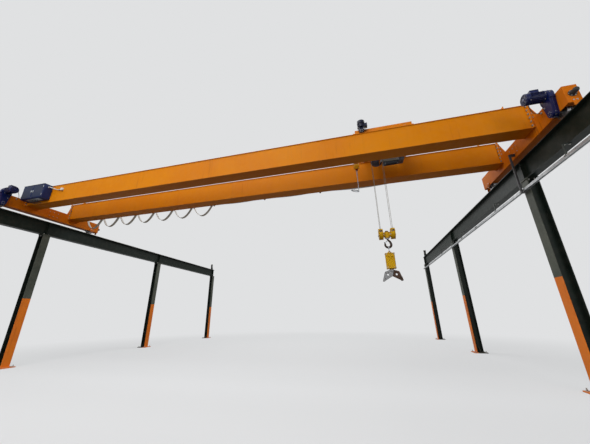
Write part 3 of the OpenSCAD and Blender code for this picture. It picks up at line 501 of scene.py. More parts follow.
def plateMesh(outline, thickness, width=0.002):
    # a flat outline in the X-Y plane given its thickness upwards
    bm = bmesh.new()
    face = bm.faces.new([bm.verts.new((x, y, 0)) for x, y in outline])
    grown = bmesh.ops.extrude_face_region(bm, geom=[face])["geom"]
    top = [v for v in grown if isinstance(v, bmesh.types.BMVert)]
    bmesh.ops.translate(bm, vec=(0, 0, thickness), verts=top)
    bmesh.ops.recalc_face_normals(bm, faces=bm.faces)
    rims = [e for e in bm.edges if abs(e.verts[0].co.z - e.verts[1].co.z) < 1e-6]
    roundEdges(bm, rims, width, 1)
    return keepMesh(bm)


def ringOutline(radius, sides):
    return [(radius * math.cos(math.tau * i / sides), radius * math.sin(math.tau * i / sides)) for i in range(sides)]


def arcOutline(arcs, grow=0.0):
    # arcs of (middle x, middle y, radius, first angle, turn, steps), joined by straight lines
    spots = []
    for x, y, r, start, turn, steps in arcs:
        for i in range(steps + 1):
            a = math.radians(start + turn * i / steps)
            spots.append((x + (r + grow) * math.cos(a), y + (r + grow) * math.sin(a)))
    return spots


def roundedOutline(wide, high, corner, steps=4):
    x, y = wide / 2 - corner, high / 2 - corner
    return arcOutline([(sx * x, sy * y, corner, start, 90, steps)
                       for sx, sy, start in ((1, 1, 0), (-1, 1, 90), (-1, -1, 180), (1, -1, 270))])


def sweptMesh(path, section, closed=False, ups=None, sizes=None, twist=0.0):
    # a section carried along a path, turned square to it at every point; the
    # strip starts as a grid, one row for each point and one column for each side
    path = [Vector(p) for p in path]
    count = len(path)
    places, side = [], None
    for i, spot in enumerate(path):
        ahead = path[(i + 1) % count] if closed or i + 1 < count else spot
        behind = path[i - 1] if closed or i > 0 else spot
        run = (ahead - behind).normalized()
        if ups:
            hint = Vector(ups[i])
        else:
            hint = side or (Vector((0, 0, 1)) if abs(run.z) < 0.9 else Vector((0, 1, 0)))
        side = (hint - run * hint.dot(run)).normalized()
        turn = Matrix((run.cross(side), side, run)).transposed().to_4x4()
        wide, high = sizes[i] if sizes else (1, 1)
        roll = Matrix.Rotation(twist * i, 4, "Z") @ Matrix.Diagonal((wide, high, 1, 1))
        places.append(Matrix.Translation(spot) @ turn @ roll)
    bm = bmesh.new()
    around, along = len(section), count if closed else count - 1
    bmesh.ops.create_grid(bm, x_segments=around, y_segments=along, size=1.0)
    reach = max(v.co.x for v in bm.verts)
    for vert in bm.verts:
        i = round((vert.co.x / reach + 1) / 2 * around) % around
        k = round((vert.co.y / reach + 1) / 2 * along) % count
        vert.co = places[k] @ Vector((*section[i], 0))
    bmesh.ops.remove_doubles(bm, verts=bm.verts, dist=0.000005)
    if not closed:
        bmesh.ops.holes_fill(bm, edges=[e for e in bm.edges if e.is_boundary], sides=0)
    bmesh.ops.recalc_face_normals(bm, faces=bm.faces)
    return keepMesh(bm)


def curvePath(points, steps=8, turnRadius=0.05):
    # straight runs joined by round bends
    points = [Vector(p) for p in points]
    path = [points[0]]
    for before, here, after in zip(points, points[1:], points[2:]):
        r = min(turnRadius, (before - here).length * 0.49, (after - here).length * 0.49)
        a, b = here + (before - here).normalized() * r, here + (after - here).normalized() * r
        path += [a.lerp(here, t / steps).lerp(here.lerp(b, t / steps), t / steps) for t in range(steps + 1)]
    return path + [points[-1]]


def evenPath(path, step):
    # the same line with its points at even steps
    path = [Vector(p) for p in path]
    lengths = [0.0]
    for a, b in zip(path, path[1:]):
        lengths.append(lengths[-1] + (b - a).length)
    count = max(2, round(lengths[-1] / step))
    even, k = [], 0
    for i in range(count + 1):
        want = lengths[-1] * i / count
        while k < len(path) - 2 and lengths[k + 1] < want:
            k += 1
        even.append(path[k].lerp(path[k + 1], (want - lengths[k]) / max(1e-9, lengths[k + 1] - lengths[k])))
    return even


def boltMesh(across, head, washer, stud=0.0):
    # a hexagon head or nut on its washer, with the end of a stud above a nut
    bm = bmesh.new()

    def addCone(segments, low, high, foot, depth):
        made = bmesh.ops.create_cone(bm, cap_ends=True, segments=segments, radius1=low, radius2=high, depth=depth)
        bmesh.ops.translate(bm, vec=(0, 0, foot + depth / 2), verts=made["verts"])

    addCone(6, across / 1.732, across / 1.732, washer, head)
    crown = [e for e in bm.edges if min(v.co.z for v in e.verts) > washer + head - 1e-6]
    roundEdges(bm, crown, head * 0.14, 1)
    if washer:
        addCone(20, across * 0.95, across * 0.92, 0, washer)
    if stud:
        addCone(12, across * 0.33, across * 0.29, washer + head, stud)
    return keepMesh(bm)


# Putting shapes into place

def at(x, y, z, turnX=0.0, turnY=0.0, turnZ=0.0):
    # a place, with turns in degrees about X, then Y, then Z
    turn = Euler([math.radians(a) for a in (turnX, turnY, turnZ)]).to_matrix().to_4x4()
    return Matrix.Translation((x, y, z)) @ turn


def facing(place, direction, roll=0.0):
    # stands a shape made along +Z on a face that looks in a direction
    turn = Vector((0, 0, 1)).rotation_difference(Vector(direction)).to_matrix().to_4x4()
    return Matrix.Translation(place) @ turn @ Matrix.Rotation(math.radians(roll), 4, "Z")


def addShape(bm, mesh, matrix=None):
    firstVert, firstFace = len(bm.verts), len(bm.faces)
    bm.from_mesh(mesh)
    if matrix is not None:
        bm.verts.ensure_lookup_table()
        bm.faces.ensure_lookup_table()
        bmesh.ops.transform(bm, matrix=matrix, verts=bm.verts[firstVert:])
        if matrix.determinant() < 0:
            bmesh.ops.reverse_faces(bm, faces=bm.faces[firstFace:])


def addBox(bm, low, high, place=None, width=0.003, segments=2):
    addShape(bm, boxMesh(low, high, width, segments), place)


def addTurned(bm, profile, place, way=None, segments=48):
    addShape(bm, turnedMesh(profile, segments), facing(place, way) if way else place)


def addTube(bm, path, radius, sides=10, bend=0.05, steps=6, even=0.02):
    addShape(bm, sweptMesh(evenPath(curvePath(path, steps, bend), even), ringOutline(radius, sides)))


# Fasteners: size across the flats, height of head, washer, and the stud's end above a nut
fasteners = {
    "anchorNut": (0.036, 0.02, 0.005, 0.03), "capNut": (0.03, 0.016, 0.004, 0.012), "capHead": (0.03, 0.014, 0.004),
    "railClip": (0.022, 0.009, 0.0025), "sleeve": (0.013, 0.005, 0.0015), "hanger": (0.019, 0.008, 0.002),
    "stop": (0.02, 0.009, 0.002), "headPlate": (0.03, 0.0125, 0.003), "headNut": (0.03, 0.018, 0.003, 0.012),
    "hatch": (0.017, 0.007, 0.002), "buffer": (0.015, 0.006, 0.0015), "saddle": (0.013, 0.005, 0.002),
    "lid": (0.01, 0.004, 0.001), "cableClamp": (0.01, 0.005, 0.0015), "track": (0.016, 0.008, 0.002),
    "trackArm": (0.014, 0.007, 0.002), "plate": (0.014, 0.007, 0.0015), "bearing": (0.014, 0.006, 0.001),
    "cowl": (0.011, 0.004, 0.0015), "flange": (0.016, 0.007, 0.001), "small": (0.009, 0.004, 0.001),
    "case": (0.012, 0.006, 0.001), "output": (0.01, 0.005, 0.001), "filler": (0.018, 0.01, 0.002),
    "gearCase": (0.013, 0.007, 0.001), "junction": (0.009, 0.003, 0.001), "beam": (0.013, 0.006, 0.001),
    "arm": (0.011, 0.005, 0.001), "switch": (0.008, 0.003, 0.001), "guard": (0.014, 0.006, 0.0015),
    "keeper": (0.014, 0.007, 0.001), "cheek": (0.02, 0.01, 0.002), "hookNut": (0.08, 0.028, 0.0),
    "rivet": (0.018, 0.007, 0.002),
}
boltShapes = {name: boltMesh(*sizes) for name, sizes in fasteners.items()}
signs = (-1, 1)


def addBolt(bm, kind, place, way=None, roll=0.0):
    addShape(bm, boltShapes[kind], facing(place, way, roll) if way else place)


def anyTurn():
    return random.uniform(0, 60)


def shifted(middle, direction, first, second):
    # a point moved along the two axes that lie across a direction along X, Y or Z
    axis = max(range(3), key=lambda k: abs(direction[k]))
    others = [k for k in range(3) if k != axis]
    spot = list(middle)
    spot[others[0]] += first
    spot[others[1]] += second
    return spot


def boltRing(bm, kind, middle, direction, radius, count, start=0.0, roll=0.0):
    for i in range(count):
        a = math.tau * (i + start) / count
        spot = shifted(middle, direction, radius * math.cos(a), radius * math.sin(a))
        addBolt(bm, kind, spot, direction, roll * i)


def boltCorners(bm, kind, middle, direction, wide, high):
    for s, e in product(signs, signs):
        addBolt(bm, kind, shifted(middle, direction, s * wide, e * high), direction)


def newPiece(name, bm, material, body, sharpAt=38):
    mesh = keepMesh(bm, name) if isinstance(bm, bmesh.types.BMesh) else bm
    mesh.name = name
    mesh.shade_smooth()
    mesh.set_sharp_from_angle(angle=math.radians(sharpAt))
    mesh.materials.clear()
    mesh.materials.append(materials[material])
    piece = bpy.data.objects.new(name, mesh)
    bpy.context.scene.collection.objects.link(piece)
    if body:
        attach(piece, body)
    return piece


def freshMeshes(count):
    return [bmesh.new() for _ in range(count)]


def boltPiece(name, bm, body, material="boltSteel"):
    return newPiece(name, bm, material, body)


# Where the main members lie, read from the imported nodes
up, down, nearWay, farWay, leftWay, rightWay = (0, 0, 1), (0, 0, -1), (0, -1, 0), (0, 1, 0), (-1, 0, 0), (1, 0, 0)
girderEnd = highCorner("girder_near")[0] - 0.02  # the inner face of the head plates
girderLow, girderTop = lowCorner("girder_near")[2], highCorner("girder_near")[2]
girderYs = [middleOf(f"girder_{e}", 1) for e in ("near", "far")]
webHalf = 0.185  # from a girder's middle to the face of its webs
bridgeY = sum(girderYs) / 2
trackHalf = middleOf("rail_right", 0)
beamTop, beamLow = highCorner("runway_beam_right")[2], lowCorner("runway_beam_right")[2]
columnYs = [middleOf(f"column_right_{i}", 1) for i in (1, 2, 3, 4)]
carriageIn, carriageOut = trackHalf - 0.12, trackHalf + 0.12
carriageLow = lowCorner("carriage_right")[2]
carriageHigh = carriageLow + 0.4
wheelYs = [middleOf(f"wheel_right_{e}", 1) for e in ("near", "far")]
wheelZ = middleOf("wheel_right_far", 2)
trolleyX = 4.7

# Fasteners of the runway
runwayBolts = {"anchorSpacing": 0.18, "plate": 0.025, "flange": 0.016, "capX": 0.06, "capY": 0.08}


def buildRunwayBolts():
    b = runwayBolts
    bm = bmesh.new()
    for side, y, sx, sy in product(signs, columnYs, signs, signs):
        x, v = side * trackHalf + sx * b["anchorSpacing"], y + sy * b["anchorSpacing"]
        addBolt(bm, "anchorNut", at(x, v, b["plate"], turnZ=anyTurn()))
        x, v = side * trackHalf + sx * b["capX"], y + sy * b["capY"]
        addBolt(bm, "capHead", at(x, v, beamLow + b["flange"], turnZ=anyTurn()))
        addBolt(bm, "capNut", (x, v, beamLow - b["plate"]), down, anyTurn())
    boltPiece("runwayBolts", bm, "runway")


railClips = {"spacing": 0.75, "inner": 0.0265, "outer": 0.078, "half": 0.03, "thick": 0.011, "bolt": 0.062}


def buildRailClips():
    # two clips hold the rail at each place, one on either side
    c = railClips
    bm = bmesh.new()
    clip = boxMesh((c["inner"], -c["half"], 0), (c["outer"], c["half"], c["thick"]), 0.002, 1)
    count = int((highCorner("rail_right")[1] - lowCorner("rail_right")[1]) / c["spacing"])
    for side, i, turn in product(signs, range(count + 1), (0, 180)):
        base = at(side * trackHalf, (i - count / 2) * c["spacing"], beamTop, turnZ=turn)
        addShape(bm, clip, base)
        addBolt(bm, "railClip", base @ at(c["bolt"], 0, c["thick"], turnZ=anyTurn()))
    newPiece("railClips", bm, "boltSteel", "runway")


conductor = {
    "sleeves": (-6.0, 0.0, 6.0), "half": 0.034, "long": 0.08, "thick": 0.004, "sideTop": 0.064, "top": (0.0602, 0.0642),
    "screwYs": (-0.055, -0.02, 0.02, 0.055), "screwZ": 0.034,
    "hangers": (-7.5, -4.5, -1.5, 1.5, 4.5, 7.5), "clipScrew": (0.036, 0.05), "beamBolt": (0.07, 0.045, 0.018),
    "clip": [((-0.036, -0.028, 0.03), (-0.0302, 0.028, 0.068)), ((0.0302, -0.028, 0.03), (0.036, 0.028, 0.068)),
             ((-0.036, -0.028, 0.0602), (0.036, 0.028, 0.068))],
    "endCap": ((-0.034, -0.012, -0.003), (0.034, 0.012, 0.064)),
}


def buildConductorJoints():
    c = conductor
    x, bottom = lowCorner("conductor_rail")[0] + 0.03, lowCorner("conductor_rail")[2]
    half, long, thick = c["half"], c["long"], c["thick"]
    sleeve, screws = freshMeshes(2)
    for y in c["sleeves"]:
        for s, inner in ((-1, thick - half), (1, half)):
            addBox(sleeve, (-thick, -long, thick), (0, long, c["sideTop"]), at(x + inner, y, bottom), 0.001, 1)
            for dy in c["screwYs"]:
                addBolt(screws, "sleeve", (x + s * half, y + dy, bottom + c["screwZ"]), (s, 0, 0))
        addBox(sleeve, (-half, -long, c["top"][0]), (half, long, c["top"][1]), at(x, y, bottom), 0.001, 1)
    reach, high = c["clipScrew"]
    out, spread, drop = c["beamBolt"]
    for y in c["hangers"]:
        for low, top in c["clip"]:
            addBox(sleeve, low, top, at(x, y, bottom), 0.001, 1)
        for s in signs:
            addBolt(screws, "sleeve", (x + s * reach, y, bottom + high), (s, 0, 0))
            addBolt(screws, "hanger", (x + out + spread * s, y, beamLow - drop), down, 90)
    for e in signs:
        low, top = c["endCap"]
        addBox(sleeve, low, top, at(x, e * (highCorner("conductor_rail")[1] + top[1]), bottom))
    newPiece("conductorSleeves", sleeve, "plasticGrey", "runway")
    boltPiece("conductorScrews", screws, "runway")


stopPads = {"face": 8.82, "size": 0.13, "corner": 0.02, "thick": 0.03, "soft": 0.006, "high": 0.2, "boltX": 0.052,
            "boltZ": (-0.11, 0.09)}


def buildStopPads():
    p = stopPads
    pads, bolts = freshMeshes(2)
    pad = plateMesh(roundedOutline(p["size"], p["size"], p["corner"]), p["thick"], p["soft"])
    for side, e in product(signs, signs):
        x, face, z = side * trackHalf, e * p["face"], carriageLow + p["high"]
        addShape(pads, pad, facing((x, face, z), (0, -e, 0)))
        for s, dz in product(signs, p["boltZ"]):
            addBolt(bolts, "stop", (x + s * p["boltX"], face, z + dz), (0, -e, 0))
    newPiece("stopPads", pads, "rubberBlack", "runway")
    boltPiece("stopBolts", bolts, "runway")


buildRunwayBolts()
buildRailClips()
buildConductorJoints()
buildStopPads()
print("runway fitted out")

# Welds and seams of the bridge: the size of each bead, and how often its line is set out
beads = {
    "ripple": 0.0012, "waver": 23.0, "flange": 0.012, "long": (0.008, 0.08), "end": (0.01, 0.03), "short": (0.007,
        0.02),
    "seams": (-5.2, -2.6, 0.0, 2.6, 5.2), "seamShift": 0.4, "seamWide": 0.011, "seamHigh": 0.0025, "seamSoft": 0.0012,
    "clips": 26, "clipPitch": 0.59, "clipShift": 0.08, "clipHalf": 0.04, "clipSide": 0.02,
}


def addBead(bm, start, end, out, along, size):
    # a fillet weld between two plates, with the slight waver of a hand
    leg, step = beads[size]
    start, end = Vector(start), Vector(end)
    count = max(2, int((end - start).length / step))
    path = [start.lerp(end, i / count) for i in range(count + 1)]
    sizes = [[1 + beads["ripple"] / leg * 2 * noise.noise(p * beads["waver"])] * 2 for p in path]
    way = -1 if (end - start).normalized().cross(Vector(along)).dot(Vector(out)) < 0 else 1
    section = [(0, 0), (-way * leg, 0), (-way * leg * 0.45, leg * 0.45), (0, leg)]
    addShape(bm, sweptMesh(path, section, ups=[along] * len(path), sizes=sizes))


def buildGirderWelds():
    b = beads
    bm = bmesh.new()
    low, top, leg = girderLow + b["flange"], girderTop - b["flange"], b["long"][0]
    for y, s in product(girderYs, signs):
        web, out = y + s * webHalf, (0, s, 0)
        for z, way in ((low, up), (top, down)):
            addBead(bm, (-girderEnd, web, z), (girderEnd, web, z), out, way, "long")
        for e in signs:
            addBead(bm, (e * girderEnd, web, low), (e * girderEnd, web, top), out, (-e, 0, 0), "end")
        seam = boxMesh((-b["seamWide"] / 2, 0, low + leg), (b["seamWide"] / 2, b["seamHigh"], top - leg), b["seamSoft"])
        for x in b["seams"]:
            addShape(bm, seam, at(x + b["seamShift"] * s, web, 0) @ Matrix.Diagonal((1, s, 1, 1)))
        for i in range(b["clips"]):
            x, foot = (i - (b["clips"] - 1) / 2) * b["clipPitch"] + b["clipShift"] * s, y + s * b["clipSide"]
            addBead(bm, (x - b["clipHalf"], foot, girderTop), (x + b["clipHalf"], foot, girderTop), out, up, "short")
    newPiece("girderWelds", bm, "girderPaint", "bridge", 60)


headPlates = {"rows": 6, "first": 0.06, "pitch": 0.106, "across": 0.2085, "thick": 0.04, "clear": 0.03}


def buildHeadBolts():
    # the girders' head plates are bolted to those of the carriages
    h = headPlates
    bm = bmesh.new()
    for side, y, s, i in product(signs, girderYs, signs, range(h["rows"])):
        v, z = y + s * h["across"], girderLow + h["first"] + i * h["pitch"]
        addBolt(bm, "headPlate", (side * girderEnd, v, z), (-side, 0, 0), anyTurn())
        if z > carriageHigh + h["clear"]:
            addBolt(bm, "headNut", (side * (girderEnd + h["thick"]), v, z), (side, 0, 0), anyTurn())
    boltPiece("headPlateBolts", bm, "bridge")


carriageFittings = {
    "cover": [(0, 0.034), (0.036, 0.034), (0.04, 0.03), (0.043, 0.022), (0.076, 0.018), (0.082, 0.012), (0.082, 0),
              (0, 0)],
    "coverScrews": 0.065, "coverFace": 0.016, "hatch": (0.34, 0.2, 0.03), "hatchThick": 0.006, "hatchPitch": 1.05,
    "hatchScrews": ((-0.145, 0, 0.145), (-0.08, 0.08)), "end": 1.9, "sweeperHalf": 0.006, "sweeperWide": 0.045,
    "sweeperZs": (-0.078, 0.07), "sweeperScrew": (0.028, 0.045), "bufferFace": 0.012, "bufferBolts": 0.058,
}


def buildCarriageFittings():
    c = carriageFittings
    painted, bolts = freshMeshes(2)
    middle = (carriageLow + carriageHigh) / 2
    hatch = plateMesh(roundedOutline(*c["hatch"]), c["hatchThick"])
    for side in signs:
        outer, inner = (side * carriageOut, side), (side * carriageIn, -side)
        for (x, out), y in ((outer, wheelYs[0]), (outer, wheelYs[1]), (inner, wheelYs[1])):
            addTurned(painted, c["cover"], (x, y, wheelZ), (out, 0, 0))
            boltRing(bolts, "hatch", (x + out * c["coverFace"], y, wheelZ), (out, 0, 0), c["coverScrews"], 6, 0.5, 30)
        for (x, out), shift in ((outer, 0), (outer, -1), (outer, 1), (inner, 0)):
            place = facing((x, bridgeY + shift * c["hatchPitch"], middle), (out, 0, 0), 90)
            addShape(painted, hatch, place)
            for dx, dy in product(*c["hatchScrews"]):
                addBolt(bolts, "hatch", place @ at(dx, dy, c["hatchThick"]))
        for e in signs:
            half, wide = c["sweeperHalf"], c["sweeperWide"]
            low, top = c["sweeperZs"]
            x, end = side * trackHalf, bridgeY + e * c["end"]
            addBox(painted, (-wide, -half, low), (wide, half, top), at(x, end + e * half, carriageLow))
            across, high = c["sweeperScrew"]
            for s in signs:
                addBolt(bolts, "hatch", (x + s * across, end + e * 2 * half, carriageLow + high), (0, e, 0))
            boltRing(bolts, "buffer", (x, end + e * c["bufferFace"], middle), (0, e, 0), c["bufferBolts"], 6)
    newPiece("carriageCovers", painted, "carriagePaint", "bridge")
    boltPiece("carriageBolts", bolts, "bridge")


buildGirderWelds()
buildHeadBolts()
buildCarriageFittings()
print("bridge welded and bolted")

# The festoon: a flat cable in loops between the saddles of its carriers
festoon = {
    "start": -7.5, "pitch": 0.87, "packed": 7, "spread": 3, "y": -1.955, "z": 5.5177, "saddle": 0.045, "wide": 0.1,
    "thick": 0.012, "steep": 64.0, "slack": 7.0, "lead": 0.025, "tail": 0.02, "arcSteps": 8, "spanSteps": 32,
    "far": 2000.0,
}
towX = middleOf("tow_arm", 0)
packedEnd = festoon["start"] + festoon["packed"] * festoon["pitch"]
saddleXs = [festoon["start"] + i * festoon["pitch"] for i in range(festoon["packed"] + 1)]
saddleXs += [packedEnd + q * (trolleyX - packedEnd) / festoon["spread"] for q in range(1, festoon["spread"])] + [towX]


def blendOver(piece):
    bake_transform(piece)


def blendAlong(piece):
    blendOver(piece)


def blendSteady(piece):
    blendOver(piece)


def loopPath(x0, x1, angle, lead=0.0, tail=0.0):
    # over one saddle, down, round and up to the next one
    f = festoon
    a, r, y, z = math.radians(angle), f["saddle"], f["y"], f["z"]
    bends = [(r * math.sin(a * q / f["arcSteps"]),
        r * (1 - math.cos(a * q / f["arcSteps"]))) for q in range(f["arcSteps"])]
    path = [Vector((x0 - lead, y, z))] if lead else []
    path += [Vector((x0 + dx, y, z - dz)) for dx, dz in bends]
    x2, x3, drop = x0 + r * math.sin(a), x1 - r * math.sin(a), r * (1 - math.cos(a))
    for q in range(f["spanSteps"] + 1):
        t = q / f["spanSteps"]
        path.append(Vector((x2 + (x3 - x2) * t, y, z - drop - (x3 - x2) * math.tan(a) * t * (1 - t))))
    path += [Vector((x1 - dx, y, z - dz)) for dx, dz in reversed(bends)]
    return path + ([Vector((x1 + tail, y, z))] if tail else [])


def buildFestoonCable():
    f = festoon
    section = roundedOutline(f["wide"], f["thick"], f["thick"] * 0.45, 3)
    last = len(saddleXs) - 2
    for i, (x0, x1) in enumerate(zip(saddleXs, saddleXs[1:])):
        angle = f["steep"] if x1 - x0 < 1.5 * f["pitch"] else f["slack"]
        path = loopPath(x0, x1, angle, f["lead"] if i == 0 else 0.0, f["tail"] if i == last else 0.0)
        runs = [(b - a).normalized() for a, b in zip(path[:1] + path, path[1:] + path[-1:])]
        ups = [Vector(farWay).cross(run) * -1 for run in runs]
        piece = newPiece(f"festoonLoop{i + 1}", sweptMesh(path, section, ups=ups), "cableJacket", None,
            50)
        blendAlong(piece)
        if i == 0:
            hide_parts("festoon_cable")


carrier = {
    "trackZ": 5.56, "holdZ": 5.524, "half": 0.062, "hanger": ((-0.034, -0.0035, -0.03), (0.034, 0.0035, 0.014)),
    "yoke": (0.029, 0.012), "cheek": [(-0.03, 0), (0.03, 0), (0.03, 0.062), (0.018, 0.08), (-0.018, 0.08), (-0.03,
        0.062)],
    "cheekThick": 0.01, "saddleRadius": 0.0355, "screw": (0.02, 0.04), "rollerPlace": (0.022, 0.0065, 0.0115),
    "roller": [(0.0025, -0.0024), (0.0068, -0.0024), (0.0078, -0.0014), (0.0078, 0.0014), (0.0068, 0.0024),
               (0.0025, 0.0024)],
}


def buildFestoonCarriers():
    c = carrier
    y, saddleZ = festoon["y"], festoon["z"] - festoon["saddle"]
    half, soft = c["half"], c["cheekThick"] / 2
    wide, thick = c["yoke"]
    saddle = arcOutline([(0, 0, c["saddleRadius"], 0, 180, 12)])
    for i, x in enumerate(saddleXs[1:-1]):
        plastic, steel = freshMeshes(2)
        addBox(plastic, *c["hanger"], at(x, y, c["trackZ"]), 0.001, 1)
        addBox(plastic, (-wide, -half, 0), (wide, half, thick), at(x, y, c["holdZ"]))
        for s in signs:
            place = at(x, y + s * (half - soft) + soft, c["holdZ"] + 0.001, turnX=90)
            addShape(plastic, plateMesh(c["cheek"], c["cheekThick"]), place @ Matrix.Diagonal((1, -1, -1, 1)))
            addBolt(steel, "saddle", (x, y + s * half, saddleZ), (0, s, 0))
            addBolt(steel, "lid", (x + s * c["screw"][0], y + s * c["screw"][1], c["holdZ"] + thick), up)
        addShape(plastic, plateMesh(saddle, 2 * (half - soft)), at(x, y + half - soft, saddleZ, turnX=90))
        dx, dy, dz = c["rollerPlace"]
        for e, s in product(signs, signs):
            addTurned(steel, c["roller"], (x + e * dx, y + s * dy, c["trackZ"] + dz), farWay, 24)
        body = newPiece(f"festoonCarrier{i + 1}", plastic, "plasticBlack", None)
        blendSteady(body)
        if i == 0:
            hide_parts("festoon_carriers")
        blendSteady(boltPiece(f"festoonRollers{i + 1}", steel, None, "zincSteel"))


trackFixings = {
    "clamp": ((-0.034, -0.062, -0.024), (0.034, 0.062, -0.0125)), "post": ((-0.004, -0.004, -0.02), (0.004, 0.004,
        0.01)),
    "postX": 0.024, "postY": 0.055, "hangers": 11, "hangerZ": 5.596, "hangerRoll": 17, "arm": 0.084,
    "armZs": (5.57, 5.535), "capX": 7.74, "cap": (0.006, 0.017, -0.002, 0.032),
}


def buildTrackFixings():
    # the clamp of the fixed end, its screws, the track's hanger bolts and end caps
    f = trackFixings
    bm = bmesh.new()
    start, y, z = saddleXs[0], festoon["y"], festoon["z"]
    addBox(bm, *f["clamp"], at(start, y, z), 0.002)
    for s, e in product(signs, signs):
        x, v = start + e * f["postX"], y + s * f["postY"]
        addBolt(bm, "cableClamp", (x, v, z + f["clamp"][0][2]), down, 90)
        addBox(bm, *f["post"], at(x, v, z), 0.001, 1)
    for i in range(f["hangers"]):
        x = start * (1 - 2 * i / (f["hangers"] - 1))
        addBolt(bm, "track", at(x, y, f["hangerZ"], turnZ=f["hangerRoll"] * i))
        for v in f["armZs"]:
            addBolt(bm, "trackArm", (x, y - f["arm"], v), farWay)
    thick, half, low, top = f["cap"]
    for e in signs:
        cap = (min(0, e * thick), -half, low), (max(0, e * thick), half, top)
        addBox(bm, *cap, at(e * f["capX"], y, carrier["trackZ"]), 0.002)
    boltPiece("festoonFixings", bm, "bridge", "zincSteel")


buildFestoonCable()
buildFestoonCarriers()
buildTrackFixings()
print("festoon hung")

# The ropes: six strands laid round a core, drawn as one lobed section that turns
rope = {"thick": 0.010, "lay": 0.066, "lobes": 6, "lobeDepth": 0.07, "step": 0.0055, "fallX": (4.365, 4.665),
        "fallY": 0.12, "top": 5.76, "arcSteps": 64, "marks": 24}
drum = {"x": 4.635, "y": -3.02, "radius": 0.1, "groove": 0.012, "turns": 37, "free": 2, "crossing": 0.14,
        "turnSteps": 48, "step": 0.009}
blockZ = 3.48


def ropeMesh(line, step, detail=18):
    r, deep = rope["thick"] / 2, rope["lobeDepth"]
    angles = [math.tau * i / detail for i in range(detail)]
    radii = [r * (1 - deep + deep * math.cos(rope["lobes"] * a)) for a in angles]
    section = [(r * math.cos(a), r * math.sin(a)) for r, a in zip(radii, angles)]
    return sweptMesh(evenPath(line, step), section, twist=math.tau * step / rope["lay"])


def buildRopeFalls():
    for i, (x, s) in enumerate(product(rope["fallX"], signs)):
        y = bridgeY + s * rope["fallY"]
        top, end = Vector((x, y, rope["top"])), Vector((x, y, blockZ))
        fall = newPiece(f"ropeFall{i + 1}", ropeMesh([top, end], rope["step"]), "laidRope", None, 60)
        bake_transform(fall)
        if i == 0:
            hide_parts("hoist_ropes")


def halfRound(radius):
    # the middles of a half turn over a sheave, as steps across and up
    turns = [math.pi * i / rope["arcSteps"] for i in range(rope["arcSteps"] + 1)]
    return [(-radius * math.cos(a), radius * math.sin(a)) for a in turns]


def buildRopeWraps():
    bm = bmesh.new()
    for x in rope["fallX"]:
        under = [(x, bridgeY + across, blockZ - high) for across, high in halfRound(rope["fallY"])]
        addShape(bm, ropeMesh(under, rope["step"]))
    newPiece("ropeOnBlockSheaves", bm, "laidRope", "block", 60)
    mid, half = sum(rope["fallX"]) / 2, (rope["fallX"][1] - rope["fallX"][0]) / 2
    over = [(mid + across, bridgeY + rope["fallY"], rope["top"] + high) for across, high in halfRound(half)]
    newPiece("ropeOnTopSheave", ropeMesh(over, rope["step"]), "laidRope", "trolley", 60)
    # on the drum each turn lies in its groove and crosses to the next one
    line = []
    for i, k in product(range(drum["free"], drum["turns"]), range(drum["turnSteps"])):
        t = k / drum["turnSteps"]
        cross = min(1.0, max(0.0, (t - 1 + drum["crossing"]) / drum["crossing"]))
        x = drum["x"] + (i + 0.5 + cross * cross * (3 - 2 * cross)) * drum["groove"]
        a = math.pi + math.tau * t
        line.append((x, drum["y"] + drum["radius"] * math.cos(a), rope["top"] + drum["radius"] * math.sin(a)))
    line = [p for p in line if p[0] <= drum["x"] + (drum["turns"] - 0.45) * drum["groove"]]
    newPiece("ropeOnDrum", ropeMesh(line, drum["step"], 12), "laidRope", "drum", 60)


drumFittings = {
    "clamps": (40, 84, 128), "clampTurn": 36.4, "clampRadius": 0.104, "clamp": ((-0.02, -0.019, 0), (0.02, 0.019,
        0.008)),
    "bearingX": 4.588, "bearingFace": 0.014, "bearingBolts": 0.052, "wedgeFoot": 0.002, "pin": (0.006, 0.13),
    "bearing": [(0.026, 0), (0.06, 0), (0.06, 0.014), (0.044, 0.02), (0.044, 0.034), (0.04, 0.038), (0.026, 0.038)],
    "wedge": [(0.0065, 0), (0.012, 0.002), (0.0165, 0.02), (0.0185, 0.05), (0.0185, 0.066), (0.0165, 0.07),
              (0.0065, 0.07)],
}


def buildDrumFittings():
    # clamps that hold the last turns, the bearing housing and the rope's wedge socket
    f = drumFittings
    clamps, housing = freshMeshes(2)
    y, z = drum["y"], rope["top"]
    for a in map(math.radians, f["clamps"]):
        out = Vector((0, math.cos(a), math.sin(a)))
        place = facing(Vector((drum["x"] + f["clampTurn"] * drum["groove"], y, z)) + out * f["clampRadius"], out)
        addBox(clamps, *f["clamp"], place, 0.002)
        addBolt(clamps, "plate", place @ at(0, 0, f["clamp"][1][2]))
    boltPiece("drumRopeClamps", clamps, "drum")
    addTurned(housing, f["bearing"], (f["bearingX"], y, z), leftWay)
    boltRing(housing, "bearing", (f["bearingX"] - f["bearingFace"], y, z), leftWay, f["bearingBolts"], 4, 0.5)
    x, y = rope["fallX"][0], bridgeY - rope["fallY"]
    addTurned(housing, f["wedge"], (x, y, z + f["wedgeFoot"]), up, 32)
    for s in signs:
        addBolt(housing, "stop", (x, y + s * f["pin"][0], z + f["pin"][1]), (0, s, 0))
    newPiece("drumHousing", housing, "drivePaint", "trolley")


buildRopeFalls()
buildRopeWraps()
buildDrumFittings()
print("ropes reeved")




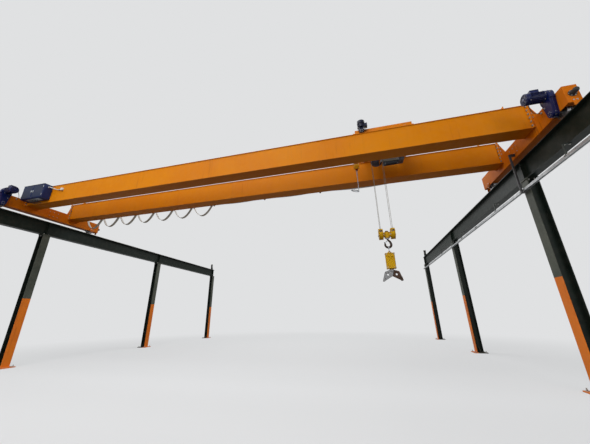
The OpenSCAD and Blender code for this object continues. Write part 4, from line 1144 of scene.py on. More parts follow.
# What dresses a motor: its fan grille, cowl screws, lifting eye, box lid and cable glands
motorDress = {
    "rings": 7, "spokes": 8, "wire": 0.0022, "ringSteps": 40, "grille": 0.0035, "cowlScrews": (0.002, 0.068),
    "flangeBolts": (0.008, 0.014), "lidThick": 0.012, "lidEdge": 0.003, "seal": (0.0016, 0.0004), "lidScrew": 0.012,
    "eye": {"radius": 0.017, "high": 0.036, "wire": 0.0048, "steps": 28, "sink": 0.014, "along": 0.36},
    "eyeFoot": [(0, 0), (0.016, 0), (0.016, 0.012), (0.012, 0.016), (0.007, 0.021), (0, 0.021)],
}
glandProfile = [(0, 0), (0.014, 0), (0.014, 0.008), (0.011, 0.01), (0.011, 0.018), (0.0085, 0.024), (0, 0.024)]


def circlePath(radius, height, steps):
    return [(x, y, height) for x, y in ringOutline(radius, steps)]


def dressMotor(painted, steel, dark, place, wide, long, eyeTurn, box=None):
    # place stands +Z along the shaft from the flange; the lid of the terminal box looks along +X
    m = motorDress
    r = wide / 2
    for profile, segments in (
            ([(0, long + 0.001), (r * 0.3, long + 0.0005), (r * 0.3, long + 0.004), (r * 0.26, long + 0.006),
              (0, long + 0.006)], 32),
            ([(r - 0.001, long - 0.078), (r + 0.0025, long - 0.074), (r + 0.0025, long - 0.062),
              (r + 0.0005, long - 0.058), (r - 0.001, long - 0.058)], 64),
            ([(r - 0.012, long - 0.001), (r - 0.001, long - 0.006), (r + 0.0006, long - 0.012),
              (r + 0.0006, long - 0.018), (r - 0.001, long - 0.018), (r - 0.014, long - 0.004)], 64),
            ([(r - 0.03, 0.014), (r - 0.004, 0.014), (r - 0.004, 0.02), (r - 0.02, 0.036), (r - 0.03, 0.036)], 64)):
        # the middle of the grille, the cowl's rim and rear edge, and the end shield
        addTurned(painted, profile, place, segments=segments)
    for i in range(m["rings"]):
        ring = circlePath(r * (0.38 + 0.082 * i), long + m["grille"], m["ringSteps"])
        addShape(painted, sweptMesh(ring, ringOutline(m["wire"], 6), closed=True), place)
    for i in range(m["spokes"]):
        a = math.tau * (i + 0.5) / m["spokes"]
        spoke = [(r * q * math.cos(a), r * q * math.sin(a), long + m["grille"]) for q in (0.28, 0.92)]
        addShape(painted, sweptMesh(spoke, ringOutline(m["wire"] * 1.3, 6)), place)
    proud, back = m["cowlScrews"]
    for a in (math.radians(45 + 90 * i) for i in range(4)):
        out = place.to_3x3() @ Vector((math.cos(a), math.sin(a), 0))
        spot = place @ Vector(((r + proud) * math.cos(a), (r + proud) * math.sin(a), long - back))
        addBolt(steel, "cowl", spot, out)
    inside, foot = m["flangeBolts"]
    for a in (math.radians(30 + 60 * i) for i in range(6)):
        addBolt(steel, "flange", place @ at((r - inside) * math.cos(a), (r - inside) * math.sin(a), foot))
    e = m["eye"]
    lift = place @ Matrix.Rotation(math.radians(eyeTurn), 4, "Z") @ at(r - e["sink"], 0, long * e["along"], turnY=90)
    eye = [(0, x, e["high"] + y) for x, y in ringOutline(e["radius"], e["steps"])]
    addShape(steel, sweptMesh(eye, ringOutline(e["wire"], 10), closed=True), lift)
    addTurned(steel, m["eyeFoot"], lift, segments=24)
    if box:
        addBoxLid(painted, steel, box, place)
        low, high = box
        inner, edge = high[0] - 0.002, m["lidEdge"] + m["seal"][1]
        addBox(dark, (inner - m["seal"][0], low[1] - edge, low[2] - edge), (inner, high[1] + edge, high[2] + edge),
               place, 0.0005, 1)


def addBoxLid(painted, steel, box, place=Matrix(), lap=0.002):
    # the lid of a terminal box and its four screws, on the side that looks along +X
    m = motorDress
    low, high = Vector(box[0]), Vector(box[1])
    outer, edge, inset = m["lidThick"], m["lidEdge"], m["lidScrew"]
    addBox(painted, (high.x - lap, low.y - edge, low.z - edge), (high.x + outer, high.y + edge, high.z + edge), place,
           0.004)
    for y, z in product((low.y + inset, high.y - inset), (low.z + inset, high.z - inset)):
        addBolt(steel, "small", place @ Vector((high.x + outer, y, z)), place.to_3x3() @ Vector(rightWay))


def addGland(dark, steel, spot, direction, path, thick=0.014):
    # a cable gland with its sealing nut, and the cable that leaves through it
    addTurned(steel, glandProfile, spot, direction, 6)
    addTube(dark, path, thick / 2)


travelDrive = {
    "inner": 7.88, "high": 0.44, "motor": (0.24, 0.34, 30.0), "box": ((0.096, -0.062, 0.07), (0.158, 0.062, 0.22)),
    # the lead goes by steps towards mid span, along the carriage and up
    "gland": (-0.145, 0.062, 0.12), "cable": 0.013,
    "lead": [(-0.145, 0.08, 0.12), (-0.145, 0.16, 0.115), (-0.13, 0.25, -0.04), (-0.02, 0.34, -0.13), (0.07, 0.35,
        -0.14),
             (0.124, 0.35, -0.14)],
    "nut": [(0.0125, 0), (0.023, 0), (0.023, 0.01), (0.018, 0.014), (0.018, 0.024), (0.0125, 0.026)],
    "case": [(0, 0, 0.08, 180, 180, 12), (0, 0.41, 0.135, 0, 180, 12)], "joint": (0.006, 0.014, 0.003), "middle": 0.055,
    "output": [(0, 0.016), (0.03, 0.016), (0.034, 0.01), (0.05, 0.008), (0.054, 0.004), (0.054, 0), (0, 0)],
    "outputBolts": 0.042, "outputFace": 0.008, "filler": (0.07, 0.2), "breather": (0.09, 0.103),
    "breatherCap": [(0, 0), (0.012, 0), (0.012, 0.012), (0.008, 0.016), (0.008, 0.028), (0.013, 0.032), (0.013, 0.042),
                    (0, 0.046)],
    "rib": ((-0.05, -0.005, -0.1), (0.05, 0.005, 0.0)), "ribPlace": (0.054, 0.137, -0.03),
}
caseTurn = Matrix(((0, 0, 1), (1, 0, 0), (0, 1, 0))).to_4x4()  # stands an outline up, square to X


def addCaseJoint(bm, arcs, x, y, z, size):
    grow, thick, soft = size
    addShape(bm, plateMesh(arcOutline(arcs, grow), thick, soft), Matrix.Translation((x, y, z)) @ caseTurn)


def buildTravelDrives():
    d = travelDrive
    for side, name in ((-1, "Left"), (1, "Right")):
        painted, steel, dark = freshMeshes(3)
        face, y, z = side * (d["inner"] - 0.12), wheelYs[0], wheelZ + d["high"]

        def place(steps):
            return face + side * steps[0], y + steps[1], z + steps[2]

        # the motor's own axes: +Z along the shaft towards mid span, +X upwards
        axes = Matrix(((0, 0, -side), (0, side, 0), (1, 0, 0))).to_4x4()
        dressMotor(painted, steel, dark, Matrix.Translation((face, y, z)) @ axes, *d["motor"], d["box"])
        lead = [place(steps) for steps in d["lead"]]
        addGland(dark, steel, place(d["gland"]), farWay, lead, d["cable"])
        addTurned(steel, d["nut"], (side * d["inner"], *lead[-1][1:]), (-side, 0, 0), 6)
        # the gear case: a joint all round, cover bolts, the output cover, a filler, a breather and ribs
        joint = face + side * d["middle"]
        half = d["joint"][1] / 2
        addCaseJoint(painted, d["case"], joint - half, y, wheelZ, d["joint"])
        for (across, high), s in product(arcOutline(d["case"], -0.001)[::3], signs):
            addBolt(steel, "case", (joint + s * half, y + across, wheelZ + high), (s, 0, 0))
        addTurned(painted, d["output"], (face, y, wheelZ), (-side, 0, 0))
        cover = face - side * d["outputFace"], y, wheelZ
        boltRing(steel, "output", cover, (-side, 0, 0), d["outputBolts"], 6)
        addBolt(steel, "filler", (face, y + d["filler"][0], wheelZ + d["filler"][1]), (-side, 0, 0))
        addTurned(steel, d["breatherCap"], (face + side * d["breather"][0], y, z + d["breather"][1]), up, 20)
        for e in signs:
            across, out, drop = d["ribPlace"]
            addBox(painted, *d["rib"], at(face + side * across, y + e * out, z + drop))
        newPiece(f"travelMotorDress{name}", painted, "drivePaint", "bridge")
        boltPiece(f"travelMotorBolts{name}", steel, "bridge")
        newPiece(f"travelMotorCable{name}", dark, "plasticBlack", "bridge")


trolleyDrive = {
    "place": (4.15, -0.055, 6.1553), "motor": (0.2, 0.205, 130.0), "motorFoot": (0.0, -0.055, 0.125), "cable": 0.013,
    "box": ((0.08, -0.105, 0.137), (0.146, -0.005, 0.237)), "lap": 0.003, "gland": (0.115, -0.055, 0.137),
    "lead": [(0.115, -0.055, 0.115), (0.115, -0.055, 0.075), (0.117, -0.012, 0.058), (0.13, 0.006, 0.05),
             (0.3, 0.007, 0.045)],
    "cover": [(0, 0.012), (0.03, 0.012), (0.034, 0.008), (0.042, 0.006), (0.042, 0), (0, 0)], "face": -0.11,
    "coverBolts": (0.036, 0.006), "caseBolts": (-20, 220, 7, 0.07, 0.075),
}


def buildTrolleyDrives():
    d = trolleyDrive
    painted, steel, dark = freshMeshes(3)
    middle = Vector(d["place"]) + Vector((0, girderYs[0], 0))
    x, y, z = middle
    sidewise = Matrix(((0, 1, 0), (-1, 0, 0), (0, 0, 1))).to_4x4()
    dressMotor(painted, steel, dark, Matrix.Translation(middle + Vector(d["motorFoot"])) @ sidewise, *d["motor"])
    # the terminal box looks towards the right end of the bridge
    addBoxLid(painted, steel, [middle + Vector(corner) for corner in d["box"]], lap=d["lap"])
    lead = [middle + Vector(steps) for steps in d["lead"]]
    addGland(dark, steel, middle + Vector(d["gland"]), down, lead, d["cable"])
    face = y + d["face"]
    addTurned(painted, d["cover"], (x, face, z), nearWay)
    boltRing(steel, "small", (x, face - d["coverBolts"][1], z), nearWay, d["coverBolts"][0], 6)
    start, turn, count, radius, high = d["caseBolts"]
    for dx, dz in arcOutline([(0, high, radius, start, turn, count - 1)]):
        addBolt(steel, "case", (x + dx, face, z + dz), nearWay)
    newPiece("trolleyDriveDress", painted, "trolleyDrivePaint", "trolley")
    boltPiece("trolleyDriveBolts", steel, "trolley")
    newPiece("trolleyDriveCable", dark, "plasticBlack", "trolley")


hoist = {
    "gearX": 5.129, "motorY": -2.75, "motorHigh": 0.02, "motor": (0.22, 0.42, 70.0),
    "box": ((0.09, -0.055, 0.1), (0.14, 0.055, 0.22)), "boxBody": ((0.08, -0.055, 0.1), (0.141, 0.055, 0.22)),
    "case": [(-0.02, 0.0, 0.12, 94, 180, 14), (0.25, 0.02, 0.105, -86, 180, 14)], "joints": (0.03, 0.088),
    "joint": (0.006, 0.012, 0.003), "face": 0.13, "boltInset": -0.008, "boltSquash": (0.97, 0.003, 0.93),
    "covers": ((-0.02, 0.0, 0.05), (0.25, 0.02, 0.04)),
}


def buildHoistDress():
    # the motor, and on the gearbox two flanges with their bolts and the covers of both shafts
    h = hoist
    painted, steel, dark = freshMeshes(3)
    x, z = h["gearX"], rope["top"]
    alongX = Matrix(((0, 0, -1), (0, 1, 0), (1, 0, 0))).to_4x4()
    place = Matrix.Translation((x, h["motorY"], z + h["motorHigh"])) @ alongX
    dressMotor(painted, steel, dark, place, *h["motor"], h["box"])
    addBox(painted, *h["boxBody"], place)
    for dx in h["joints"]:
        addCaseJoint(painted, h["case"], x + dx, bridgeY, z, h["joint"])
    wide, shift, high = h["boltSquash"]
    for across, above in arcOutline(h["case"], h["boltInset"])[::3]:
        spot = x + h["face"], bridgeY + across * wide + shift, z + above * high
        addBolt(steel, "gearCase", spot, rightWay)
    for across, above, r in h["covers"]:
        cover = [(0, 0.014), (r - 0.012, 0.014), (r - 0.008, 0.008), (r, 0.006), (r, 0), (0, 0)]
        addTurned(painted, cover, (x + h["face"], bridgeY + across, z + above), rightWay)
    # the hoist's dress wears the navy darkened with painted shade
    newPiece("hoistDress", painted, "hoistNavyShade", "trolley")
    boltPiece("hoistBolts", steel, "trolley")
    newPiece("hoistSeal", dark, "plasticBlack", "trolley")


buildTravelDrives()
buildTrolleyDrives()
buildHoistDress()
print("drives dressed")

# The control cabinet: door panels in a frame, with locks, hinges and glands
cabinet = {
    "wide": 1.0, "frame": 0.015, "gap": 0.045, "doorHigh": 0.49, "foot": 5.5, "inset": 0.016, "corner": 0.01,
    "proud": 0.0025, "hand": 0.035, "handPlate": (0.022, 0.1, 0.008), "grip": ((-0.006, -0.03, -0.034), (0.006,
        -0.012, 0.03)),
    "lock": [(0, 0), (0.009, 0), (0.009, 0.014), (0, 0.014)], "lockPlace": (0.004, 0.02), "hinges": (0.09, 0.4),
    "hinge": [(0, -0.03), (0.0055, -0.03), (0.0065, -0.028), (0.0065, 0.028), (0.0055, 0.03), (0, 0.03)],
    "hingeEdge": 0.004,
}
conduit = {
    "high": 5.93, "across": 0.14, "radius": 0.014, "end": (0.44, -0.024, 5.845), "bends": [(0.07, 0, 5.93), (0.15,
        0.02, 5.89)],
    "turn": (0.26, -0.03, 5.85), "nut": [(0, 0), (0.024, 0), (0.024, 0.01), (0.019, 0.014), (0.019, 0.026), (0, 0.026)],
    "clip": ((-0.012, -0.04, -0.018), (0.012, 0.0, 0.018)), "clipPlace": (0.33, 5.848), "screws": (0.04, 0.036, 0.058),
    "box": ((0.0, -0.048, -0.045), (0.1, 0.0, 0.045)), "lid": ((-0.002, -0.058, -0.047), (0.102, -0.046, 0.047)),
}
cabinetCables = {
    "across": (0.3, 0.36, 0.42, 0.5, 0.58, 0.66), "deep": 0.13, "foot": 5.488, "inside": 5.47, "turn": 5.432,
        "step": 0.006,
    "shift": 0.004, "radius": 0.007, "bend": 0.034,
    "gland": [(0, 0), (0.014, 0), (0.014, 0.01), (0.01, 0.013), (0.01, 0.024), (0, 0.024)],
    "bush": [(0.007, 0), (0.013, 0), (0.013, 0.004), (0.01, 0.007), (0.007, 0.007)],
}


def buildCabinet():
    c = cabinet
    doors, steel = freshMeshes(2)
    low, high = Vector(lowCorner("control_cabinet")), Vector(highCorner("control_cabinet"))
    face, doorWide = low.y, (c["wide"] - c["gap"]) / 2
    bottom = c["foot"] + c["frame"]
    z = bottom + c["doorHigh"] / 2
    panel = roundedOutline(doorWide - 2 * c["inset"], c["doorHigh"] - 2 * c["inset"], c["corner"])
    for i in (0, 1):
        left = low.x + c["frame"] + i * (c["wide"] - c["frame"]) / 2
        addShape(doors, plateMesh(panel, c["proud"], 0.001), at(left + doorWide / 2, face, z, turnX=90))
        lockSide, hingeSide = (left + doorWide, left) if i == 0 else (left, left + doorWide)
        inwards = 1 if i == 0 else -1
        hand, hinge = lockSide - inwards * c["hand"], hingeSide + inwards * c["hingeEdge"]
        addShape(steel, plateMesh(roundedOutline(*c["handPlate"]), 0.006), at(hand, face - c["proud"], z, turnX=90))
        addBox(steel, *c["grip"], at(hand, face, z), 0.004)
        addTurned(steel, c["lock"], (hand, face - c["lockPlace"][0], z + c["lockPlace"][1]), nearWay, 20)
        for dz in c["hinges"]:
            addTurned(steel, c["hinge"], (hinge, face - c["hingeEdge"], bottom + dz), up, 16)
    # a cover plate on the top and the gland plate below
    addBox(doors, (low.x - 0.004, low.y - 0.006, high.z - 0.004), (high.x + 0.004, high.y - 0.03, high.z + 0.006))
    plateLow = (low.x + 0.2, low.y + 0.06, cabinetCables["foot"])
    addBox(steel, plateLow, (high.x - 0.2, low.y + 0.2, c["foot"]), width=0.002)
    pipes, dark = buildConduit(steel, low, high), buildCabinetCables(low)
    newPiece("cabinetDoors", doors, "cabinetDoorPaint", "bridge")
    boltPiece("cabinetFittings", steel, "bridge", "zincSteel")
    newPiece("cabinetGlands", dark, "plasticBlack", "bridge")
    newPiece("bridgeConduit", pipes, "conduitGrey", "bridge")


def buildConduit(steel, low, high):
    # one pale conduit from the cabinet's upper side to a small box on the girder
    c = conduit
    pipes = bmesh.new()
    pipeY, webY = low.y + c["across"], girderYs[0] - webHalf
    out, off, z = c["end"]
    start, end = (high.x, pipeY, c["high"]), (high.x + out, webY + off, z)
    bends = [(high.x + dx, pipeY + dy, v) for dx, dy, v in c["bends"]]
    turn = (high.x + c["turn"][0], webY + c["turn"][1], c["turn"][2])
    addTube(pipes, [start, *bends, turn, end], c["radius"], 14, 0.06, 8)
    for spot, way in ((start, rightWay), (end, leftWay)):
        addTurned(steel, c["nut"], spot, way, 8)
    addBox(steel, *c["clip"], at(high.x + c["clipPlace"][0], webY, c["clipPlace"][1]))
    addBox(pipes, *c["box"], at(high.x + out, webY, z), 0.006)
    addBox(pipes, *c["lid"], at(high.x + out, webY, z), 0.004)
    wide, tall, deep = c["screws"]
    middle = (high.x + out + c["box"][1][0] / 2, webY - deep, z)
    boltCorners(steel, "junction", middle, nearWay, wide, tall)
    return pipes


def buildCabinetCables(low):
    # cables leave the gland plate and turn back into the girder's web
    c = cabinetCables
    dark = bmesh.new()
    webY, y = girderYs[0] - webHalf, low.y + c["deep"]
    for i, dx in enumerate(c["across"]):
        x, z, end = low.x + dx, c["turn"] - c["step"] * (i % 2), low.x + dx + c["shift"] * (i % 3)
        addTurned(dark, c["gland"], at(x, y, c["foot"], turnX=180), segments=6)
        addTube(dark, [(x, y, c["inside"]), (x, y, z), (end, webY, z)], c["radius"], 10, c["bend"], 10, 0.008)
        addTurned(dark, c["bush"], (end, webY, z), nearWay, 20)
    return dark


buildCabinet()
print("cabinet fitted")

# The trolley: axle covers, beam welds, a junction box, the tow arm's cable and the limit switch's arm
trolleyFittings = {
    "half": 0.055, "axleZ": 6.1553, "axleX": 0.55, "axleBolts": (0.031, 0.009), "end": 0.73, "endBolts": (0.038,
        0.05, 0.03),
    "axleCover": [(0, 0.016), (0.022, 0.016), (0.025, 0.012), (0.034, 0.01), (0.038, 0.006), (0.038, 0), (0, 0)],
    "beams": (-0.47, -0.13, 0.525), "beamHalf": 0.05, "beamZs": (6.136, 6.256), "top": 6.2583,
    "box": (0.2, 0.12, 0.16), "boxPlace": (0.525, -2.62), "lid": 0.003, "lidScrew": 0.014, "cableZ": 0.06,
}
towCable = {"start": (0.04, -0.05, 6.2653), "over": (0.034, 0.1, 6.227), "radius": 0.008, "bend": 0.04,
            "line": [(0.034, -2.02, 6.2265), (0.034, -1.965, 6.19), (0.034, -1.955, 5.62), (0.032, -1.955, 5.56)],
            "clips": (6.08, 5.9, 5.72), "clip": ((-0.0265, -0.011, -0.009), (0.045, 0.011, 0.009)),
            "foot": (0.015, 0.028, 5.524)}
limitArm = {"x": -0.77, "foot": 5.576, "frameBolts": (0.02, 0.012, 6.1843), "plateXs": (-0.05, 0.04),
    "plateZs": (0.03, 0.2),
            "face": 0.055}


def buildTrolleyFittings():
    t = trolleyFittings
    painted, steel, dark = freshMeshes(3)
    for y, e in product(girderYs, signs):
        for s in signs:
            if y == girderYs[0] and e < 0 and s < 0:
                continue  # the drive stands here
            x, face = trolleyX + e * t["axleX"], y + s * t["half"]
            radius, proud = t["axleBolts"]
            addTurned(painted, t["axleCover"], (x, face, t["axleZ"]), (0, s, 0), 36)
            boltRing(steel, "small", (x, face + s * proud, t["axleZ"]), (0, s, 0), radius, 4, 0.5)
        wide, tall, high = t["endBolts"]
        boltCorners(steel, "beam", (trolleyX + e * t["end"], y, t["axleZ"] + high), (e, 0, 0), wide, tall)
    for x, s in product(t["beams"], signs):
        inner, mid, half = girderYs[0 if s < 0 else 1] - s * t["half"], trolleyX + x, t["beamHalf"]
        foot, head = t["beamZs"]
        for e in signs:
            edge = mid + e * half
            addBead(painted, (edge, inner, foot), (edge, inner, head), (e, 0, 0), (0, -s, 0), "short")
        addBead(painted, (mid - half, inner, t["top"]), (mid + half, inner, t["top"]), up, (0, -s, 0), "short")
    buildJunctionBox(painted, steel, dark)
    # the tow arm's cable runs over from the frame and down to the clamp
    c = towCable
    edge = girderYs[1] + t["half"]
    path = [(towX + dx, edge + dy, z) for dx, dy, z in (c["start"], c["over"])] + [(towX + dx, y, z) for dx, y,
        z in c["line"]]
    addTube(dark, path, c["radius"], 10, c["bend"], 8)
    for z in c["clips"]:
        addBox(steel, *c["clip"], at(towX, festoon["y"], z))
    dx, dy, z = c["foot"]
    for e, s in product(signs, signs):
        addBolt(steel, "case", (towX + e * dx, festoon["y"] + s * dy, z), down, 90)
    # the arm of the limit switch is bolted to the frame, and a plate to its foot
    a = limitArm
    x = trolleyX + a["x"]
    back, spread, z = a["frameBolts"]
    for s in signs:
        addBolt(steel, "track", (x - back, bridgeY, z + s * spread), leftWay)
    for dx, dz in product(a["plateXs"], a["plateZs"]):
        addBolt(steel, "arm", (x + dx, bridgeY - a["face"], a["foot"] + dz), nearWay)
    newPiece("trolleyDress", painted, "trolleyPaint", "trolley")
    boltPiece("trolleyBolts", steel, "trolley")
    newPiece("trolleyCables", dark, "plasticBlack", "trolley")


def buildJunctionBox(painted, steel, dark):
    t = trolleyFittings
    w, d, h = t["box"]
    x, y, z = trolleyX + t["boxPlace"][0], t["boxPlace"][1], t["top"]
    edge, inset, high = t["lid"], t["lidScrew"], z + t["cableZ"]
    addBox(painted, (-w / 2, -d / 2, 0), (w / 2, d / 2, h), at(x, y, z), 0.006)
    addBox(painted, (-w / 2 - edge, -d / 2 - edge, h - 0.002), (w / 2 + edge, d / 2 + edge, h + 0.01), at(x, y, z),
        0.004)
    boltCorners(steel, "lid", (x, y, z + h + 0.01), up, w / 2 - inset, d / 2 - inset)
    front, back = y - d / 2, y + d / 2
    for s in signs:
        path = [(x + s * 0.05, back + 0.02, high), (x + s * 0.05, back + 0.1, z + 0.05),
                (x + s * 0.04, back + 0.16, z + 0.0075), (x + s * 0.03, girderYs[1] - 0.06, z + 0.0075)]
        addGland(dark, steel, (x + s * 0.05, back, high), farWay, path)
    path = [(x, front - 0.02, high), (x, front - 0.07, z + 0.05), (x, front - 0.12, z + 0.008),
            (x, girderYs[0] + 0.08, z + 0.008)]
    addGland(dark, steel, (x, front, high), nearWay, path)


limitSwitch = {
    "cover": ((-0.036, -0.04, -0.1), (0.036, -0.0345, -0.004)), "screwX": 0.028, "screwZs": (-0.092, -0.012),
        "face": 0.04,
    "rodX": -0.004, "collarZ": -0.112, "collar": [(0.0102, 0), (0.019, 0), (0.019, 0.006), (0.014, 0.012), (0.0102,
        0.012)],
    "bead": [(0.0101, -0.009), (0.0145, -0.009), (0.0155, -0.006), (0.0155, 0.006), (0.0145, 0.009), (0.0101, 0.009)],
    "beadZs": (-0.3, -0.47, -0.64), "coil": {"radius": 0.0165, "wire": 0.0022, "turns": 9, "steps": 14,
        "top": -0.125, "drop": 0.0009},
    "gland": (0, 0.035, -0.05), "cable": 0.01,
    "lead": [(0, 0.05, -0.05), (0, 0.11, -0.055), (0, 0.13, 0.06), (0, 0.075, 0.3), (0.012, 0.036, 0.56),
             (0.05, 0.03, 0.595), (0.2, 0.028, 0.595)],
    "hood": [((-0.078, -0.08, -0.07), (0.078, -0.074, 0.1)), ((-0.078, -0.08, -0.07), (-0.072, 0.03, 0.1)),
             ((0.072, -0.08, -0.07), (0.078, 0.03, 0.1)), ((-0.078, -0.08, 0.094), (0.078, -0.056, 0.1))],
    "hoodX": 0.06, "hoodZs": (-0.052, 0.08), "hoodFace": 0.08,
}


def buildLimitDress():
    c = limitSwitch
    red, steel, dark, hood = freshMeshes(4)
    x, y, z = trolleyX + limitArm["x"], bridgeY, limitArm["foot"]
    addBox(red, *c["cover"], at(x, y, z))
    for s, dz in product(signs, c["screwZs"]):
        addBolt(steel, "switch", (x + s * c["screwX"], y - c["face"], z + dz), nearWay)
    for s, dz in product(signs, c["hoodZs"]):
        addBolt(steel, "lid", (x + s * c["hoodX"], y - c["hoodFace"], z + dz), nearWay)
    rodX = x + c["rodX"]
    addTurned(steel, c["collar"], (rodX, y, z + c["collarZ"]), up, 24)
    for dz in c["beadZs"]:
        addTurned(steel, c["bead"], (rodX, y, z + dz), up, 20)
    spring = c["coil"]
    r, count = spring["radius"], spring["steps"]
    coil = [(rodX + r * math.cos(math.tau * t / count), y + r * math.sin(math.tau * t / count),
             z + spring["top"] - spring["drop"] * t) for t in range(count * spring["turns"])]
    addShape(steel, sweptMesh(coil, ringOutline(spring["wire"], 6)))
    lead = [(x + dx, y + dy, z + dz) for dx, dy, dz in c["lead"]]
    gx, gy, gz = c["gland"]
    addGland(dark, steel, (x + gx, y + gy, z + gz), farWay, lead, c["cable"])
    # a folded hood keeps the dust off the switch, and only its foot stands out below
    for low, high in c["hood"]:
        addBox(hood, low, high, at(x, y, z), 0.0015)
    newPiece("limitHood", hood, "blockPaint", "trolley")
    newPiece("limitCover", red, "switchPaint", "trolley")
    boltPiece("limitSteel", steel, "trolley", "zincSteel")
    newPiece("limitLead", dark, "plasticBlack", "trolley")


buildTrolleyFittings()
buildLimitDress()
print("trolley fitted")


# The hook block: bolted guards, axle keepers, the thrust collar and its grease points
hookX, bowlZ = 4.515, 3.19
block = {
    "guardHalf": 0.05, "boltRing": 0.118, "bolts": 8, "rimSink": 0.006, "beadSink": 0.0004,
    "rim": [(0.133, 0), (0.149, 0), (0.149, 0.005), (0.147, 0.008), (0.133, 0.008)],
    "boss": [(0.024, 0), (0.05, 0), (0.05, 0.004), (0.04, 0.009), (0.024, 0.009)],
    "bead": [(0.076, 0), (0.08, 0.003), (0.09, 0.003), (0.094, 0)],
    "keeper": (0.11, 0.032, 0.006), "keeperThick": 0.007, "keeperFoot": 0.009, "keeperDrop": 0.036, "keeperBolt": 0.04,
    "skirt": ((-0.046, -0.003, -0.004), (0.046, 0.003, 0.02)), "skirtOut": 0.025, "skirtHigh": {1: 0.077, -1: 0.108},
    "cheekBolt": (0.085, 0.055, -0.02), "cheekY": 0.0585,
    "cheekBars": ((0.03, (-0.11, -0.004, -0.012), (0.11, 0.004, 0)), (-0.068, (-0.11, -0.004, 0), (0.11, 0.004,
        0.012))),
    "thrust": [(0.025, 0), (0.0685, 0), (0.0685, 0.01), (0.064, 0.014), (0.025, 0.014)], "thrustDrop": 0.113,
    "thrustBolts": 0.054, "nipplePlace": (0.04, -0.0525, -0.0905),
    "nipple": [(0, 0), (0.006, 0), (0.006, 0.005), (0.003, 0.008), (0.003, 0.014), (0.0045, 0.017), (0, 0.02)],
}


def buildBlockDress():
    b = block
    painted, steel = freshMeshes(2)
    keeper = plateMesh(roundedOutline(*b["keeper"]), b["keeperThick"])
    for x, s in product(rope["fallX"], signs):
        face, out = x + s * b["guardHalf"], (s, 0, 0)
        for profile, sink, segments in (("rim", b["rimSink"], 72), ("boss", 0, 40), ("bead", b["beadSink"], 56)):
            addTurned(painted, b[profile], (face - s * sink, bridgeY, blockZ), out, segments)
        boltRing(steel, "guard", (face, bridgeY, blockZ), out, b["boltRing"], b["bolts"], 0.5)
        if (x > hookX) == (s > 0):
            foot, z = face + s * b["keeperFoot"], blockZ - b["keeperDrop"]
            addShape(steel, keeper, facing((foot, bridgeY, z), out, 90))
            for e in signs:
                spot = foot + s * b["keeperThick"], bridgeY + e * b["keeperBolt"], z
                addBolt(steel, "keeper", spot, out)
        # guard skirts stand beside the rope slots
        for e in signs:
            y = bridgeY + s * rope["fallY"] + e * b["skirtOut"]
            addBox(painted, *b["skirt"], at(x, y, blockZ + b["skirtHigh"][s * e]), 0.002)
    # cheeks tie the guards to the crosshead, with clamp screws through them
    across, deep, high = b["cheekBolt"]
    for s in signs:
        for e in signs:
            addBolt(steel, "cheek", (hookX + e * across, bridgeY + s * deep, blockZ + high), (0, s, 0))
        for dz, low, top in b["cheekBars"]:
            addBox(painted, low, top, at(hookX, bridgeY + s * b["cheekY"], blockZ + dz), 0.002)
    # the thrust bearing's cover ring, its screws and grease nipples
    z = blockZ - b["thrustDrop"]
    addTurned(painted, b["thrust"], (hookX, bridgeY, z), up, 56)
    for x, y in ringOutline(b["thrustBolts"], 6):
        addBolt(steel, "output", (hookX + x, bridgeY + y, z), down, 90)
    dx, dy, dz = b["nipplePlace"]
    for s in signs:
        addTurned(steel, b["nipple"], (hookX + s * dx, bridgeY + dy, blockZ + dz), nearWay, 12)
    newPiece("blockDress", painted, "blockPaint", "block")
    boltPiece("blockBolts", steel, "block")


forged = {
    "radius": 0.0238, "sides": 28, "top": 0.085, "neck": 0.158, "neckSteps": 9, "shoulder": 0.104, "reach": (0.058,
        0.098),
    "shoulderSteps": 14, "bowl": 0.075, "start": 32, "turn": 222, "bowlSteps": 43, "point": (0.016, 0.058),
        "pointSteps": 9,
    "nutHigh": 0.0458,
}


def hookLine():
    # the shank comes down, bears out round the bowl and ends in the raised point
    f = forged
    steps = lambda count: [i / count for i in range(1, count + 1)]
    top, neck = blockZ + f["top"], bowlZ + f["neck"]
    line = [(Vector((0, 0, top + (neck - top) * t)), (1.0, 1.0)) for t in [0.0] + steps(f["neckSteps"])]

    def bowlSpot(t):
        angle = math.radians(f["start"] - f["turn"] * t)
        return Vector((f["bowl"] * math.cos(angle), 0, bowlZ + f["bowl"] * math.sin(angle)))

    # from the neck out to the back of the bowl
    a, b = Vector((0, 0, neck)), Vector((0, 0, bowlZ + f["shoulder"]))
    c, d = Vector((f["reach"][0], 0, bowlZ + f["reach"][1])), bowlSpot(0)
    for t in steps(f["shoulderSteps"]):
        spot = a * (1 - t) ** 3 + b * 3 * t * (1 - t) ** 2 + c * 3 * t * t * (1 - t) + d * t ** 3
        line.append((spot, (1.0 + 0.03 * t, 1.0 + 0.16 * t)))
    for t in steps(f["bowlSteps"]):
        full = math.sin(math.pi * min(1, t * 1.15)) ** 0.8 if t < 0.87 else 0
        wide, high = 1.03 - 0.18 * t - 0.33 * max(0, t - 0.7), 1.16 + 0.1 * full - 0.24 * max(0, t - 0.35)
        line.append((bowlSpot(t), (wide, high)))
    last, (back, rise) = line[-1][0], f["point"]
    for t in steps(f["pointSteps"]):
        line.append((last + Vector((-back * t * t, 0, rise * t)), (0.75 - 0.42 * t, 1.0 - 0.62 * t)))
    return line


